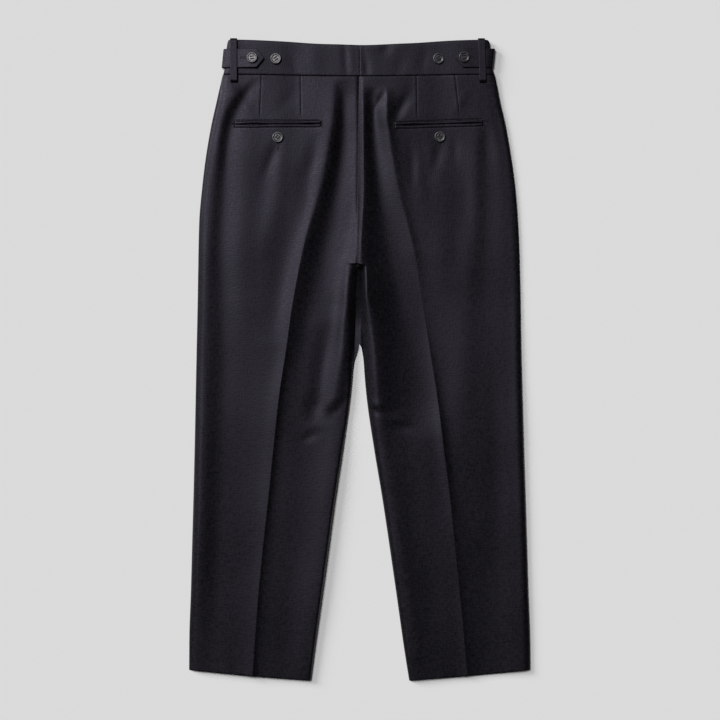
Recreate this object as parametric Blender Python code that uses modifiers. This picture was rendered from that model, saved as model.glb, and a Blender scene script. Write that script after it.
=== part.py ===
"""Tailored charcoal trousers, laid flat with the back up.

The legs lie along Y with the waistband at +Y, and +X is the wearer's right side. The front panels lie
on the surface, the back panels lie on them, and the waistband, adjuster straps, belt loops, pocket jets
and buttons are pieces of their own, 0.3 mm apart where they are sewn together.
Tables are in millimetres. "Down" is the distance below the top edge of the waistband.
"""

import math
from typing import Callable, NamedTuple

import bmesh
import bpy
from mathutils import Vector
from mathutils.bvhtree import BVHTree

MM = 0.001
GARMENT_LENGTH = 963.0
TOP_Y = GARMENT_LENGTH / 2

CLOTH = 1.5
BAND_CLOTH = 2.4
STRAP_CLOTH = 1.4
SEAM_GAP = 0.3
LAYER_GAP = 0.3

WAIST_DOWN = 52.5
CROTCH_DOWN = 337.0
FRONT_CROTCH_DOWN = 360.0
HEM_SLANT = 16.0
EDGE_ROLL = 11.0
PLATEAU = 4.9
EDGE_HEIGHT = CLOTH + LAYER_GAP
LOWEST_BACK = 3.2
FRONT_INSET = 0.8
EDGE_SEAT = 0.6
WAIST_FADE = 120.0
HEM_FADE_START = 500.0

CREASE_HALF_WIDTH = 9.0

STRAP_HALF_WIDTH = 14.0
STRAP_DOWN = 28.5
FOLD_DEPTH = 1.2
STRAP_LIFT = STRAP_CLOTH + LAYER_GAP
LIFT_START = 145.0
LIFT_WIDTH = 30.0
LIFT_DOWN = 55.0
LIFT_FADE = 45.0
STRAP_TUCK = 26.0
STRAP_TIP_LENGTH = 10.5
STRAP_TIP_HALF_WIDTH = 1.6

LOOP_HALF_WIDTH = 5.0
LOOP_CLOTH = 1.6
LOOP_TOP_DOWN = 0.8
LOOP_END_DOWN = 64.0
LOOP_REACH = 3.0

JET_HEIGHT = 4.6
JET_CLOTH = 1.0
POCKET_SLIT = 0.8
JET_STATIONS = 15
JET_CLEARANCE = 0.1

BUTTON_RADIUS = 8.0
BUTTON_THICKNESS = 2.8
BUTTON_SAUCER = 1.0
BUTTON_RIM_INNER = 0.74 * BUTTON_RADIUS
BUTTON_RIM_OUTER = 0.9 * BUTTON_RADIUS
BUTTON_FOOT_RADIUS = 0.86 * BUTTON_RADIUS
BUTTON_STEPS = 20
BUTTON_HOLES = 4
BUTTON_HOLE_RADIUS = 0.9
BUTTON_HOLE_SPREAD = 1.6

FLY_WIDTH = 42.0
FLY_LEFT = -6.0
FLY_TOP = 12.0
FLY_LENGTH = 190.0
FLY_CLOTH = 1.0


class Section(NamedTuple):
    """Where the cut edges and pressed creases lie across the trousers, at one distance down."""

    down: float
    left_outer: float
    left_crease: float
    left_inner: float
    right_inner: float
    right_crease: float
    right_outer: float


SECTIONS = (
    Section(52, -205.4, -38.0, -1.0, -1.0, 38.0, 202.6),
    Section(95, -215.6, -42.0, -1.9, -1.9, 41.5, 211.8),
    Section(130, -223.4, -45.5, -2.2, -2.2, 45.5, 219.8),
    Section(182, -232.1, -53.0, -2.7, -2.7, 53.0, 228.6),
    Section(226, -237.3, -65.0, -3.0, -3.0, 61.5, 234.3),
    Section(271, -241.2, -76.0, -3.4, -3.4, 72.5, 237.8),
    Section(316, -242.4, -86.0, -3.7, -3.7, 81.8, 239.9),
    Section(337, -242.7, -90.0, -3.8, -3.8, 85.5, 240.5),
    Section(346, -242.8, -91.5, -11.5, 5.0, 87.0, 240.7),
    Section(391, -243.6, -99.8, -9.0, 3.2, 93.8, 241.7),
    Section(430, -244.4, -105.0, -8.6, 2.8, 100.0, 242.2),
    Section(466, -245.2, -110.3, -9.6, 5.0, 105.8, 242.8),
    Section(505, -246.0, -116.0, -10.8, 7.4, 111.5, 243.8),
    Section(541, -246.7, -121.5, -14.4, 10.8, 117.8, 244.7),
    Section(616, -248.2, -129.8, -25.0, 21.8, 125.3, 246.7),
    Section(691, -249.9, -136.5, -36.5, 34.3, 135.8, 248.9),
    Section(766, -251.9, -145.5, -46.7, 45.5, 142.5, 251.1),
    Section(841, -253.8, -152.3, -57.0, 56.3, 150.0, 253.3),
    Section(916, -256.2, -158.3, -67.2, 66.9, 156.8, 255.9),
    Section(963, -256.5, -161.0, -73.2, 74.4, 163.5, 256.5),
)


class CreaseRow(NamedTuple):
    """Height of the pressed ridge above the cloth beside it."""

    down: float
    height: float


CREASE_HEIGHTS = (
    CreaseRow(60, 0.0),
    CreaseRow(120, 1.6),
    CreaseRow(230, 3.6),
    CreaseRow(320, 3.4),
    CreaseRow(540, 2.8),
    CreaseRow(963, 2.0),
)


class FoldRow(NamedTuple):
    """One point on a soft fold's line. A negative height is a trough."""

    down: float
    x: float
    height: float
    half_width: float


FOLDS = {
    "centre seam ridge": (
        FoldRow(56, 0.0, 0.4, 9.0),
        FoldRow(190, -2.0, 1.2, 9.0),
        FoldRow(330, -4.0, 1.0, 9.0),
    ),
    "left seat groove": (
        FoldRow(56, -24.0, -0.6, 9.0),
        FoldRow(110, -27.0, -1.6, 9.0),
        FoldRow(166, -33.0, -1.8, 11.0),
        FoldRow(241, -43.0, -1.8, 14.0),
        FoldRow(316, -50.0, -1.6, 18.0),
        FoldRow(400, -62.0, 0.0, 16.0),
    ),
    "right seat trough": (
        FoldRow(60, 21.0, -0.6, 12.0),
        FoldRow(137, 17.0, -1.8, 13.0),
        FoldRow(212, 17.0, -1.8, 13.0),
        FoldRow(316, 30.0, -1.7, 17.0),
        FoldRow(391, 45.0, -1.7, 19.0),
        FoldRow(500, 44.0, -1.3, 18.0),
        FoldRow(600, 42.0, 0.0, 16.0),
    ),
    "left outseam trough": (
        FoldRow(60, -176.0, -0.8, 12.0),
        FoldRow(91, -185.0, -1.5, 12.0),
        FoldRow(166, -208.0, -1.6, 11.0),
        FoldRow(240, -220.0, -1.4, 10.0),
        FoldRow(466, -221.0, -1.2, 10.0),
        FoldRow(850, -230.0, 0.0, 10.0),
    ),
    "right outseam trough": (
        FoldRow(120, 190.0, 0.0, 12.0),
        FoldRow(166, 186.0, -1.2, 12.0),
        FoldRow(316, 178.0, -1.2, 13.0),
        FoldRow(450, 174.0, 0.0, 13.0),
    ),
    "left inner thigh ridge": (
        FoldRow(350, -15.0, 0.0, 11.0),
        FoldRow(391, -20.0, 1.6, 11.0),
        FoldRow(466, -31.0, 1.8, 12.0),
        FoldRow(560, -46.0, 0.0, 12.0),
    ),
    "left knee dent": (
        FoldRow(430, -62.0, 0.0, 12.0),
        FoldRow(480, -66.0, -1.4, 12.0),
        FoldRow(545, -74.0, -1.4, 12.0),
        FoldRow(610, -80.0, 0.0, 12.0),
    ),
}


class BandSide(NamedTuple):
    """The waistband's side edges, with rounded top corners."""

    down: float
    left: float
    right: float


BAND_SIDES = (
    BandSide(0.0, -194.0, 190.5),
    BandSide(2.0, -197.3, 193.6),
    BandSide(7.0, -199.6, 196.0),
    BandSide(30.0, -201.4, 198.0),
    BandSide(44.0, -202.8, 199.2),
    BandSide(52.5, -205.0, 202.3),
)
BAND_TOP_DIP = 7.9
BAND_SEAM_DIP = 2.2
FRONT_TOP_DIP = 22.0
FRONT_SEAM_DIP = 8.0
BAND_HALF_LENGTH = 195.0
BAND_ROLL = 0.9
BAND_ROLL_WIDTH = 1.5
BAND_SEAT = 0.2
BAND_WIDTHS = (0.0, BAND_ROLL_WIDTH, 5.0, 14.0, 32.0, WAIST_DOWN)
BACK_BAND_SHARES = (0, 0.04, 0.075, 0.12, 0.25, 0.4, 0.55, 0.68, 0.78, 0.86, 0.95, 0.985, 1)
FRONT_BAND_SHARES = (0, 0.25, 0.5, 0.72, 0.8, 0.88, 1)

BACK_WAIST_ROWS = (WAIST_DOWN, 64.5, 80.5, 97.5)
BACK_SEAT_ROWS = (115, 137, 160, 185, 210, 235, 260, 285, 310, 328, CROTCH_DOWN)
BACK_LEG_ROWS = (346, 362, 385, 410, 440, 470, 505, 541, 580)
BACK_SHIN_ROWS = (625, 675, 725, 775, 825, 875, 925, GARMENT_LENGTH)
BACK_ROWS = BACK_WAIST_ROWS + BACK_SEAT_ROWS + BACK_LEG_ROWS + BACK_SHIN_ROWS
FRONT_SEAT_ROWS = (WAIST_DOWN, 75, 100, 140, 200, 260, 310, FRONT_CROTCH_DOWN)
FRONT_LEG_ROWS = (369, 430, 505, 560, 640, 740, 850, GARMENT_LENGTH)
FRONT_ROWS = FRONT_SEAT_ROWS + FRONT_LEG_ROWS
FRONT_COLUMNS = 9


class Pocket(NamedTuple):
    """A jetted back pocket, from end to end, with its button below."""

    side: str
    left_x: float
    right_x: float
    left_down: float
    right_down: float
    button_x: float
    button_down: float


POCKETS = (
    Pocket("left", -188.0, -57.8, 127.8, 126.8, -122.8, 147.2),
    Pocket("right", 52.5, 185.7, 128.8, 125.0, 120.3, 146.0),
)


class Strap(NamedTuple):
    """A side adjuster strap with its two waistband buttons and the belt loop over it."""

    side: str
    fold_x: float
    tip_x: float
    button_x: float
    button_down: float
    spare_x: float
    spare_down: float
    loop_top_x: float
    loop_end_x: float


STRAPS = (
    Strap("left", -206.2, -144.0, -161.1, 28.5, -125.7, 29.4, -189.0, -189.0),
    Strap("right", 202.2, 144.0, 156.3, 27.3, 118.1, 28.9, 182.6, 185.0),
)

CHARCOAL = (0.013, 0.012, 0.016)
CHARCOAL_LIGHT = (0.016, 0.015, 0.019)
BUTTON_GREY = (0.022, 0.022, 0.025)

Point = tuple[float, float, float]


def smooth_step(value: float) -> float:
    """Ease from 0 to 1 as the value does."""
    held = min(1.0, max(0.0, value))
    return held * held * (3 - 2 * held)


def table_value(rows: tuple, column: str, at: float) -> float:
    """Read a column at a distance down, straight between the rows and held past the ends."""
    if at <= rows[0][0]:
        return getattr(rows[0], column)
    for upper, lower in zip(rows, rows[1:]):
        if at <= lower[0]:
            share = (at - upper[0]) / (lower[0] - upper[0])
            return getattr(upper, column) * (1 - share) + getattr(lower, column) * share
    return getattr(rows[-1], column)


def edge_x(side: str, edge: str, down: float) -> float:
    """X of a panel's edge, or of its crease."""
    return table_value(SECTIONS, f"{side}_{edge}", down)


def fold_height(x: float, down: float) -> float:
    """Height of all the soft folds at a point."""
    total = 0.0
    for rows in FOLDS.values():
        if not rows[0].down <= down <= rows[-1].down:
            continue
        across = (x - table_value(rows, "x", down)) / table_value(rows, "half_width", down)
        total += table_value(rows, "height", down) * math.exp(-across * across)
    return total


def side_lift(x: float, down: float) -> float:
    """How far the front layer rises at the waist's sides to pass over the ends of the straps."""
    near_side = smooth_step((abs(x) - LIFT_START) / LIFT_WIDTH)
    near_waist = 1 - smooth_step((down - LIFT_DOWN) / LIFT_FADE)
    return STRAP_LIFT * near_side * near_waist


def back_height(side: str, x: float, down: float) -> float:
    """Underside of a back panel above the surface."""
    outer = edge_x(side, "outer", down)
    crease = edge_x(side, "crease", down)
    inner = edge_x(side, "inner", down)
    edge = EDGE_HEIGHT + EDGE_SEAT + side_lift(outer, down)
    outer_rise = math.sin(0.5 * math.pi * min(1.0, abs(x - outer) / EDGE_ROLL))
    inner_rise = 1.0
    if down > CROTCH_DOWN:
        inner_rise = math.sin(0.5 * math.pi * min(1.0, abs(x - inner) / EDGE_ROLL))
    rise = min(outer_rise, inner_rise)
    ridge = table_value(CREASE_HEIGHTS, "height", down)
    ridge *= max(0.0, 1 - abs(x - crease) / CREASE_HALF_WIDTH)
    body = PLATEAU + fold_height(x, down) + ridge
    return edge + (max(LOWEST_BACK, body) - edge) * rise


def dip(x: float, depth: float) -> float:
    """How far an edge of the waistband sags towards the centre."""
    return depth * math.cos(0.5 * math.pi * min(1.0, abs(x) / BAND_HALF_LENGTH)) ** 2


def band_height(x: float, side_x: float) -> float:
    """Underside of the back waistband above the surface."""
    edge = STRAP_LIFT + BAND_CLOTH + LAYER_GAP
    rise = math.sin(0.5 * math.pi * min(1.0, abs(x - side_x) / EDGE_ROLL))
    return edge + (PLATEAU - BAND_SEAT - edge) * rise


def spaced(start: float, end: float, count: int) -> list[float]:
    """Evenly spaced values, both ends included."""
    return [start + (end - start) * index / (count - 1) for index in range(count)]


def new_material(name: str, colour: tuple, roughness: float) -> bpy.types.Material:
    """A Principled material with one colour."""
    material = bpy.data.materials.new(name)
    material.use_nodes = True
    shader = material.node_tree.nodes["Principled BSDF"]
    shader.inputs["Base Color"].default_value = (*colour, 1)
    shader.inputs["Roughness"].default_value = roughness
    shader.inputs["Metallic"].default_value = 0
    return material


def add_object(name: str, mesh: bpy.types.Mesh, material: bpy.types.Material, home) -> bpy.types.Object:
    """Link a mesh as a named object in the collection."""
    mesh.materials.clear()
    mesh.materials.append(material)
    obj = bpy.data.objects.new(name, mesh)
    home.objects.link(obj)
    return obj


def loft(name: str, rings: list[list[Point]], material: bpy.types.Material, home) -> bpy.types.Object:
    """Join unlike rings of equal length into one closed wall. Points are in millimetres."""
    shape = bmesh.new()
    rows = []
    for ring in rings:
        rows.append([shape.verts.new(Vector(point) * MM) for point in ring])
    count = len(rings[0])
    for upper, lower in zip(rows, rows[1:]):
        for index in range(count):
            after = (index + 1) % count
            shape.faces.new((upper[index], upper[after], lower[after], lower[index]))
    half = count // 2
    for row in (rows[0], rows[-1]):
        for index in range(half - 1):
            shape.faces.new((row[index], row[index + 1], row[count - 2 - index], row[count - 1 - index]))
    bmesh.ops.recalc_face_normals(shape, faces=shape.faces)
    mesh = bpy.data.meshes.new(name)
    shape.to_mesh(mesh)
    shape.free()
    obj = add_object(name, mesh, material, home)
    mesh.shade_smooth()
    mesh.set_sharp_from_angle(angle=math.radians(50))
    return obj


def wall_ring(points: list[Point], thickness: float) -> list[Point]:
    """A ring round a wall: the row of points moved up by the thickness, then the row itself, reversed."""
    upper = [(x, y, z + thickness) for x, y, z in points]
    return upper + points[::-1]


def panel_columns(side: str, down: float) -> list[float]:
    """X of a back panel's columns, close together at the edges and the crease."""
    outer = edge_x(side, "outer", down)
    crease = edge_x(side, "crease", down)
    inner = edge_x(side, "inner", down)
    turn = 1.0 if side == "left" else -1.0
    near_outer = [outer + turn * step for step in (0.0, 2.5, 6.0, EDGE_ROLL)]
    near_crease = [crease - turn * CREASE_HALF_WIDTH, crease, crease + turn * CREASE_HALF_WIDTH]
    if abs(crease - inner) < 2.6 * CREASE_HALF_WIDTH:
        near_crease[2] = crease + turn * 0.4 * abs(crease - inner)
    near_inner = [inner - turn * step for step in (EDGE_ROLL, 5.0, 0.5 * SEAM_GAP)]
    if abs(near_crease[2] - inner) < 1.5 * EDGE_ROLL:
        room = abs(near_crease[2] - inner)
        near_inner = [inner - turn * step for step in (0.6 * room, 0.3 * room, 0.5 * SEAM_GAP)]
    first = spaced(near_outer[-1], near_crease[0], 9)[1:-1]
    second = spaced(near_crease[-1], near_inner[0], 5)[1:-1]
    return near_outer + first + near_crease + second + near_inner


def hem_down(share: float) -> float:
    """The hem's distance down: it slants from the outer edge to the longer inner edge."""
    return GARMENT_LENGTH - HEM_SLANT * (1 - share) * (1 - 0.25 * share)


def seam_down(x: float, depth: float) -> float:
    """Distance down of the waistband's lower edge."""
    return WAIST_DOWN + dip(x, depth)


def true_down(nominal: float, top: float, bottom: float) -> float:
    """Distance down of a panel's point, from the one it would have if both ends were straight."""
    near_top = max(0.0, 1 - (nominal - WAIST_DOWN) / WAIST_FADE)
    near_hem = smooth_step((nominal - HEM_FADE_START) / (GARMENT_LENGTH - HEM_FADE_START))
    return nominal + (top - WAIST_DOWN) * near_top + (bottom - GARMENT_LENGTH) * near_hem


def back_panel(side: str, material, home) -> bpy.types.Object:
    """A back panel: half the seat and the back of one leg, with its folds and its pressed crease."""
    rings = []
    for nominal in BACK_ROWS:
        points = []
        columns = panel_columns(side, nominal)
        for x in columns:
            share = abs(x - columns[0]) / abs(columns[-1] - columns[0])
            top = seam_down(x, BAND_SEAM_DIP) + SEAM_GAP
            down = true_down(nominal, top, hem_down(share))
            points.append((x, TOP_Y - down, back_height(side, x, nominal)))
        rings.append(wall_ring(points, CLOTH))
    return loft(f"back_{side}", rings, material, home)


def front_panel(side: str, material, home) -> bpy.types.Object:
    """A front panel, flat on the surface under the back and just inside its outline."""
    rings = []
    for nominal in FRONT_ROWS:
        outer = edge_x(side, "outer", nominal)
        turn = 1.0 if side == "left" else -1.0
        start = outer + turn * FRONT_INSET
        end = edge_x(side, "inner", min(nominal, CROTCH_DOWN)) - turn * 0.5 * SEAM_GAP
        if nominal > FRONT_CROTCH_DOWN:
            end = edge_x(side, "inner", nominal) - turn * FRONT_INSET
        points = []
        for x in spaced(start, end, FRONT_COLUMNS):
            share = abs(x - start) / abs(end - start)
            top = seam_down(x, FRONT_SEAM_DIP) + SEAM_GAP
            down = true_down(nominal, top, hem_down(share) - FRONT_INSET)
            points.append((x, TOP_Y - down, side_lift(x, down)))
        rings.append(wall_ring(points, CLOTH))
    return loft(f"front_{side}", rings, material, home)


def waistband(layer: str, side: str, material, home) -> bpy.types.Object:
    """A quarter of the waistband, with a rolled top edge."""
    turn = -1.0 if side == "left" else 1.0
    is_back = layer == "back"
    rings = []
    for width in BAND_WIDTHS:
        top_roll = BAND_ROLL * max(0.0, 1 - width / BAND_ROLL_WIDTH)
        side_x = table_value(BAND_SIDES, side, width)
        if not is_back:
            side_x -= turn * FRONT_INSET
        centre_x = turn * 0.5 * SEAM_GAP
        reach = abs(side_x - centre_x)
        points = []
        for share in BACK_BAND_SHARES if is_back else FRONT_BAND_SHARES:
            x = centre_x + turn * reach * share
            upper = dip(x, BAND_TOP_DIP if is_back else FRONT_TOP_DIP)
            lower = seam_down(x, BAND_SEAM_DIP if is_back else FRONT_SEAM_DIP)
            down = upper + (lower - upper) * width / WAIST_DOWN
            z = band_height(x, side_x) if is_back else side_lift(x, 0)
            points.append((x, TOP_Y - down, z, top_roll))
        upper_row = [(x, y, z + BAND_CLOTH - roll) for x, y, z, roll in points]
        lower_row = [(x, y, z + (0.5 * roll if is_back else 0.0)) for x, y, z, roll in points]
        rings.append(upper_row + lower_row[::-1])
    return loft(f"waistband_{layer}_{side}", rings, material, home)


def top_of(solids: list[bpy.types.Object]) -> Callable[[float, float], float]:
    """A function that gives the height of the highest solid at a point, in millimetres."""
    trees = []
    for solid in solids:
        shape = bmesh.new()
        shape.from_mesh(solid.data)
        trees.append(BVHTree.FromBMesh(shape))
        shape.free()

    def height(x: float, down: float) -> float:
        best = 0.0
        for tree in trees:
            start = Vector((x * MM, (TOP_Y - down) * MM, 1))
            found = tree.ray_cast(start, Vector((0, 0, -1)))[0]
            if found is not None:
                best = max(best, found.z / MM)
        return best

    return height


def ribbon(name: str, stations: list[tuple[Point, Point]], thickness: float, material, home):
    """A strip of cloth through pairs of edge points, thickened towards run times width."""
    rings = []
    count = len(stations)
    for index, (first, second) in enumerate(stations):
        before = stations[max(0, index - 1)]
        after = stations[min(count - 1, index + 1)]
        run = (Vector(after[0]) + Vector(after[1])) - (Vector(before[0]) + Vector(before[1]))
        across = Vector(second) - Vector(first)
        out = run.cross(across).normalized() * thickness
        rings.append([first, second, tuple(Vector(second) + out), tuple(Vector(first) + out)])
    return loft(name, rings, material, home)


def adjuster(strap: Strap, top: Callable, material, home) -> bpy.types.Object:
    """An adjuster strap: from inside the side, round its edge and over the back to the tip."""
    turn = 1.0 if strap.side == "left" else -1.0
    inner_x = strap.fold_x + turn * STRAP_CLOTH
    path = [(inner_x + turn * step, STRAP_CLOTH) for step in (STRAP_TUCK, 0.5 * STRAP_TUCK, FOLD_DEPTH)]
    upper_z = top(inner_x + turn * 4.0, STRAP_DOWN) + LAYER_GAP
    middle = 0.5 * (upper_z + STRAP_CLOTH)
    radius = 0.5 * (upper_z - STRAP_CLOTH)
    for step in range(1, 6):
        angle = math.pi * step / 6
        x = inner_x + turn * FOLD_DEPTH * (1 - math.sin(angle))
        path.append((x, middle - radius * math.cos(angle)))
    reach = abs(strap.tip_x - strap.fold_x)
    for distance in (3.0, 10.0, 18.0, 26.0, 38.0, reach - STRAP_TIP_LENGTH, reach - 1.5):
        x = strap.fold_x + turn * distance
        heights = [top(x, STRAP_DOWN + offset) for offset in (-STRAP_HALF_WIDTH, 0.0, STRAP_HALF_WIDTH)]
        path.append((x, max(heights) + LAYER_GAP))
    stations = []
    for index, (x, z) in enumerate(path):
        half = STRAP_HALF_WIDTH if index < len(path) - 1 else STRAP_TIP_HALF_WIDTH
        edges = [(x, TOP_Y - STRAP_DOWN + half, z), (x, TOP_Y - STRAP_DOWN - half, z)]
        stations.append((edges[1], edges[0]) if strap.side == "left" else (edges[0], edges[1]))
    return ribbon(f"adjuster_{strap.side}", stations, STRAP_CLOTH, material, home)


def belt_loop(strap: Strap, top: Callable, material, home) -> bpy.types.Object:
    """A belt loop over the strap, sewn down at the band's top edge and just below its seam."""
    stations = []
    downs = (LOOP_TOP_DOWN, 4.0, 9.0, 14.0, 20.0, STRAP_DOWN, 37.0, 43.5, 48.0, 54.0, 59.0, LOOP_END_DOWN)
    for down in downs:
        share = (down - downs[0]) / (downs[-1] - downs[0])
        x = strap.loop_top_x + (strap.loop_end_x - strap.loop_top_x) * share
        heights = []
        for aside in (-LOOP_HALF_WIDTH, 0.0, LOOP_HALF_WIDTH):
            for ahead in (-LOOP_REACH, 0.0, LOOP_REACH):
                heights.append(top(x + aside, min(LOOP_END_DOWN, max(LOOP_TOP_DOWN, down + ahead))))
        z = max(heights) + LAYER_GAP
        y = TOP_Y - down
        stations.append(((x - LOOP_HALF_WIDTH, y, z), (x + LOOP_HALF_WIDTH, y, z)))
    return ribbon(f"loop_{strap.side}", stations, LOOP_CLOTH, material, home)


def pocket_jet(pocket: Pocket, which: str, top: Callable, material, home) -> bpy.types.Object:
    """One lip of a jetted pocket, lying on the back panel's own surface."""
    stations = []
    sign = -1.0 if which == "upper" else 1.0
    near = sign * 0.5 * POCKET_SLIT
    far = sign * (0.5 * POCKET_SLIT + JET_HEIGHT)
    for x in spaced(pocket.left_x, pocket.right_x, JET_STATIONS):
        share = (x - pocket.left_x) / (pocket.right_x - pocket.left_x)
        middle = pocket.left_down + (pocket.right_down - pocket.left_down) * share
        edges = []
        for offset in sorted((near, far), reverse=True):
            down = middle + offset
            edges.append((x, TOP_Y - down, top(x, down) + LAYER_GAP + JET_CLEARANCE))
        stations.append((edges[0], edges[1]))
    return ribbon(f"pocket_{pocket.side}_{which}_jet", stations, JET_CLOTH, material, home)


def button_blank(material) -> bpy.types.Mesh:
    """A turned four-hole button with a raised rim, its underside at zero."""
    profile = (
        (0.0, BUTTON_THICKNESS - BUTTON_SAUCER),
        (0.8 * BUTTON_RIM_INNER, BUTTON_THICKNESS - BUTTON_SAUCER),
        (BUTTON_RIM_INNER, BUTTON_THICKNESS),
        (BUTTON_RIM_OUTER, BUTTON_THICKNESS - 0.1),
        (BUTTON_RADIUS, BUTTON_THICKNESS - BUTTON_SAUCER),
        (BUTTON_FOOT_RADIUS, 0.0),
        (0.0, 0.0),
    )
    mesh = bpy.data.meshes.new("button_profile")
    points = [(radius * MM, 0, height * MM) for radius, height in profile]
    mesh.from_pydata(points, [(index, index + 1) for index in range(len(points) - 1)], [])
    obj = bpy.data.objects.new("button_profile", mesh)
    bpy.context.scene.collection.objects.link(obj)
    screw = obj.modifiers.new("Turn", "SCREW")
    screw.steps = BUTTON_STEPS
    screw.render_steps = BUTTON_STEPS
    screw.use_merge_vertices = True
    screw.merge_threshold = 0.00001
    holes = []
    for index in range(BUTTON_HOLES):
        angle = math.tau * (index + 0.5) / BUTTON_HOLES
        shift = Vector((math.cos(angle), math.sin(angle), 0)) * BUTTON_HOLE_SPREAD * math.sqrt(2) * MM
        bpy.ops.mesh.primitive_cylinder_add(
            vertices=6,
            radius=BUTTON_HOLE_RADIUS * MM,
            depth=4 * BUTTON_THICKNESS * MM,
            location=shift,
        )
        hole = bpy.context.active_object
        cut = obj.modifiers.new("Hole", "BOOLEAN")
        cut.object = hole
        cut.solver = "EXACT"
        holes.append(hole)
    graph = bpy.context.evaluated_depsgraph_get()
    turned = bpy.data.meshes.new_from_object(obj.evaluated_get(graph))
    turned.name = "button"
    turned.materials.append(material)
    turned.shade_smooth()
    turned.set_sharp_from_angle(angle=math.radians(35))
    for helper in (obj, *holes):
        bpy.data.objects.remove(helper)
    return turned


def place_button(name: str, blank, x: float, down: float, top: Callable, home) -> bpy.types.Object:
    """Set a button flat on whatever lies highest below it."""
    heights = [top(x, down)]
    for index in range(12):
        angle = math.tau * index / 12
        for radius in (0.5 * BUTTON_RADIUS, BUTTON_RADIUS):
            heights.append(top(x + radius * math.cos(angle), down + radius * math.sin(angle)))
    obj = bpy.data.objects.new(name, blank)
    obj.location = Vector((x, TOP_Y - down, max(heights) + LAYER_GAP)) * MM
    home.objects.link(obj)
    return obj


def fly_shield(material, home) -> bpy.types.Object:
    """The underlap behind the fly, on the inside of the fronts at the centre."""
    rings = []
    for step in spaced(FLY_TOP, FLY_LENGTH, 4):
        points = []
        for x in spaced(FLY_LEFT, FLY_LEFT + FLY_WIDTH, 3):
            points.append((x, TOP_Y - WAIST_DOWN - step, CLOTH + LAYER_GAP))
        rings.append(wall_ring(points, FLY_CLOTH))
    return loft("fly_shield", rings, material, home)


def main() -> None:
    """Build every piece of the trousers."""
    for old in list(bpy.data.objects):
        bpy.data.objects.remove(old)
    home = bpy.data.collections.new("trousers")
    bpy.context.scene.collection.children.link(home)
    cloth = new_material("charcoal_wool", CHARCOAL, 0.85)
    trim = new_material("charcoal_wool_trim", CHARCOAL_LIGHT, 0.85)
    horn = new_material("dark_button", BUTTON_GREY, 0.3)

    laid = []
    for side in ("left", "right"):
        front_panel(side, cloth, home)
        waistband("front", side, cloth, home)
        laid.append(back_panel(side, cloth, home))
        laid.append(waistband("back", side, cloth, home))
    fly_shield(trim, home)
    blank = button_blank(horn)
    panel_top = top_of(laid)
    for pocket in POCKETS:
        for which in ("upper", "lower"):
            pocket_jet(pocket, which, panel_top, trim, home)
        name = f"button_pocket_{pocket.side}"
        place_button(name, blank, pocket.button_x, pocket.button_down, panel_top, home)
    for strap in STRAPS:
        belt = adjuster(strap, panel_top, trim, home)
        strap_top = top_of(laid + [belt])
        belt_loop(strap, strap_top, trim, home)
        name = f"button_strap_{strap.side}"
        place_button(name, blank, strap.button_x, strap.button_down, strap_top, home)
        name = f"button_spare_{strap.side}"
        place_button(name, blank, strap.spare_x, strap.spare_down, strap_top, home)


main()
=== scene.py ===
"""Charcoal wool trousers, laid flat with the back up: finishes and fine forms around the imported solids.

Sizes are in millimetres and placed by two values: x across the trousers from the centre line, towards the
wearer's right, and down, the distance below the top edge of the waistband. Edges and folds are read as smooth
curves from short tables, a row for each place marked on the cloth, because cloth lies unevenly.
"""

import logging
import math
from dataclasses import dataclass, field
from enum import Enum
from typing import Any, Callable, NamedTuple

import bmesh
import bpy
import numpy as np
from mathutils import Matrix, Vector

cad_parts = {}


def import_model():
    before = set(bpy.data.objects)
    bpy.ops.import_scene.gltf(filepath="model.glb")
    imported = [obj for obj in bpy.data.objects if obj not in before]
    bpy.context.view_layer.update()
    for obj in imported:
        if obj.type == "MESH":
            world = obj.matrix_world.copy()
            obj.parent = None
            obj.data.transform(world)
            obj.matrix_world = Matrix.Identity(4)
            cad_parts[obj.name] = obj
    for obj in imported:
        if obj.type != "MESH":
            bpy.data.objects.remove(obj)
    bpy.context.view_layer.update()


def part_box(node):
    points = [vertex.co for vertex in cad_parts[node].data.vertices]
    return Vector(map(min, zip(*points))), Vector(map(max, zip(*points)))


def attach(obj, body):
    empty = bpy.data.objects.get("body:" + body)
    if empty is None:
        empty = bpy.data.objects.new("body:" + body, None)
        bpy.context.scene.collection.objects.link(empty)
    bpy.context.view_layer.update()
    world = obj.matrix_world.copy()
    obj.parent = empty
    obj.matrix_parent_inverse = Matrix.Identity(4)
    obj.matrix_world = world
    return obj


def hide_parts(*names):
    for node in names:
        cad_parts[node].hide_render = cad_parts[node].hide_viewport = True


LOG = logging.getLogger("trousers")
MM = 0.001
BODY = "root"

Array = np.ndarray
Object = bpy.types.Object
Material = bpy.types.Material
Tree = bpy.types.NodeTree
Socket = bpy.types.NodeSocket
Surface = Callable[[Array, Array], Array]


class Side(Enum):
    """Which half of the trousers a piece belongs to. The wearer's left is at -X."""

    LEFT = "left"
    RIGHT = "right"

    @property
    def turn(self) -> float:
        """Direction from the outer edge towards the centre."""
        return 1.0 if self is Side.LEFT else -1.0


class FoldKind(Enum):
    """How a fold's cross-section runs: the power of its bell curve."""

    SOFT = 2.0
    ROLLED = 1.5
    PRESSED = 1.15


def table(kind: type, *rows: tuple) -> tuple:
    """Rows of a table, each turned into its kind, which names the columns."""
    return tuple(kind(*row) for row in rows)


def column(rows: tuple, name: str) -> Array:
    """One named column of a table, top to bottom."""
    return np.array([getattr(row, name) for row in rows], float)


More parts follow.
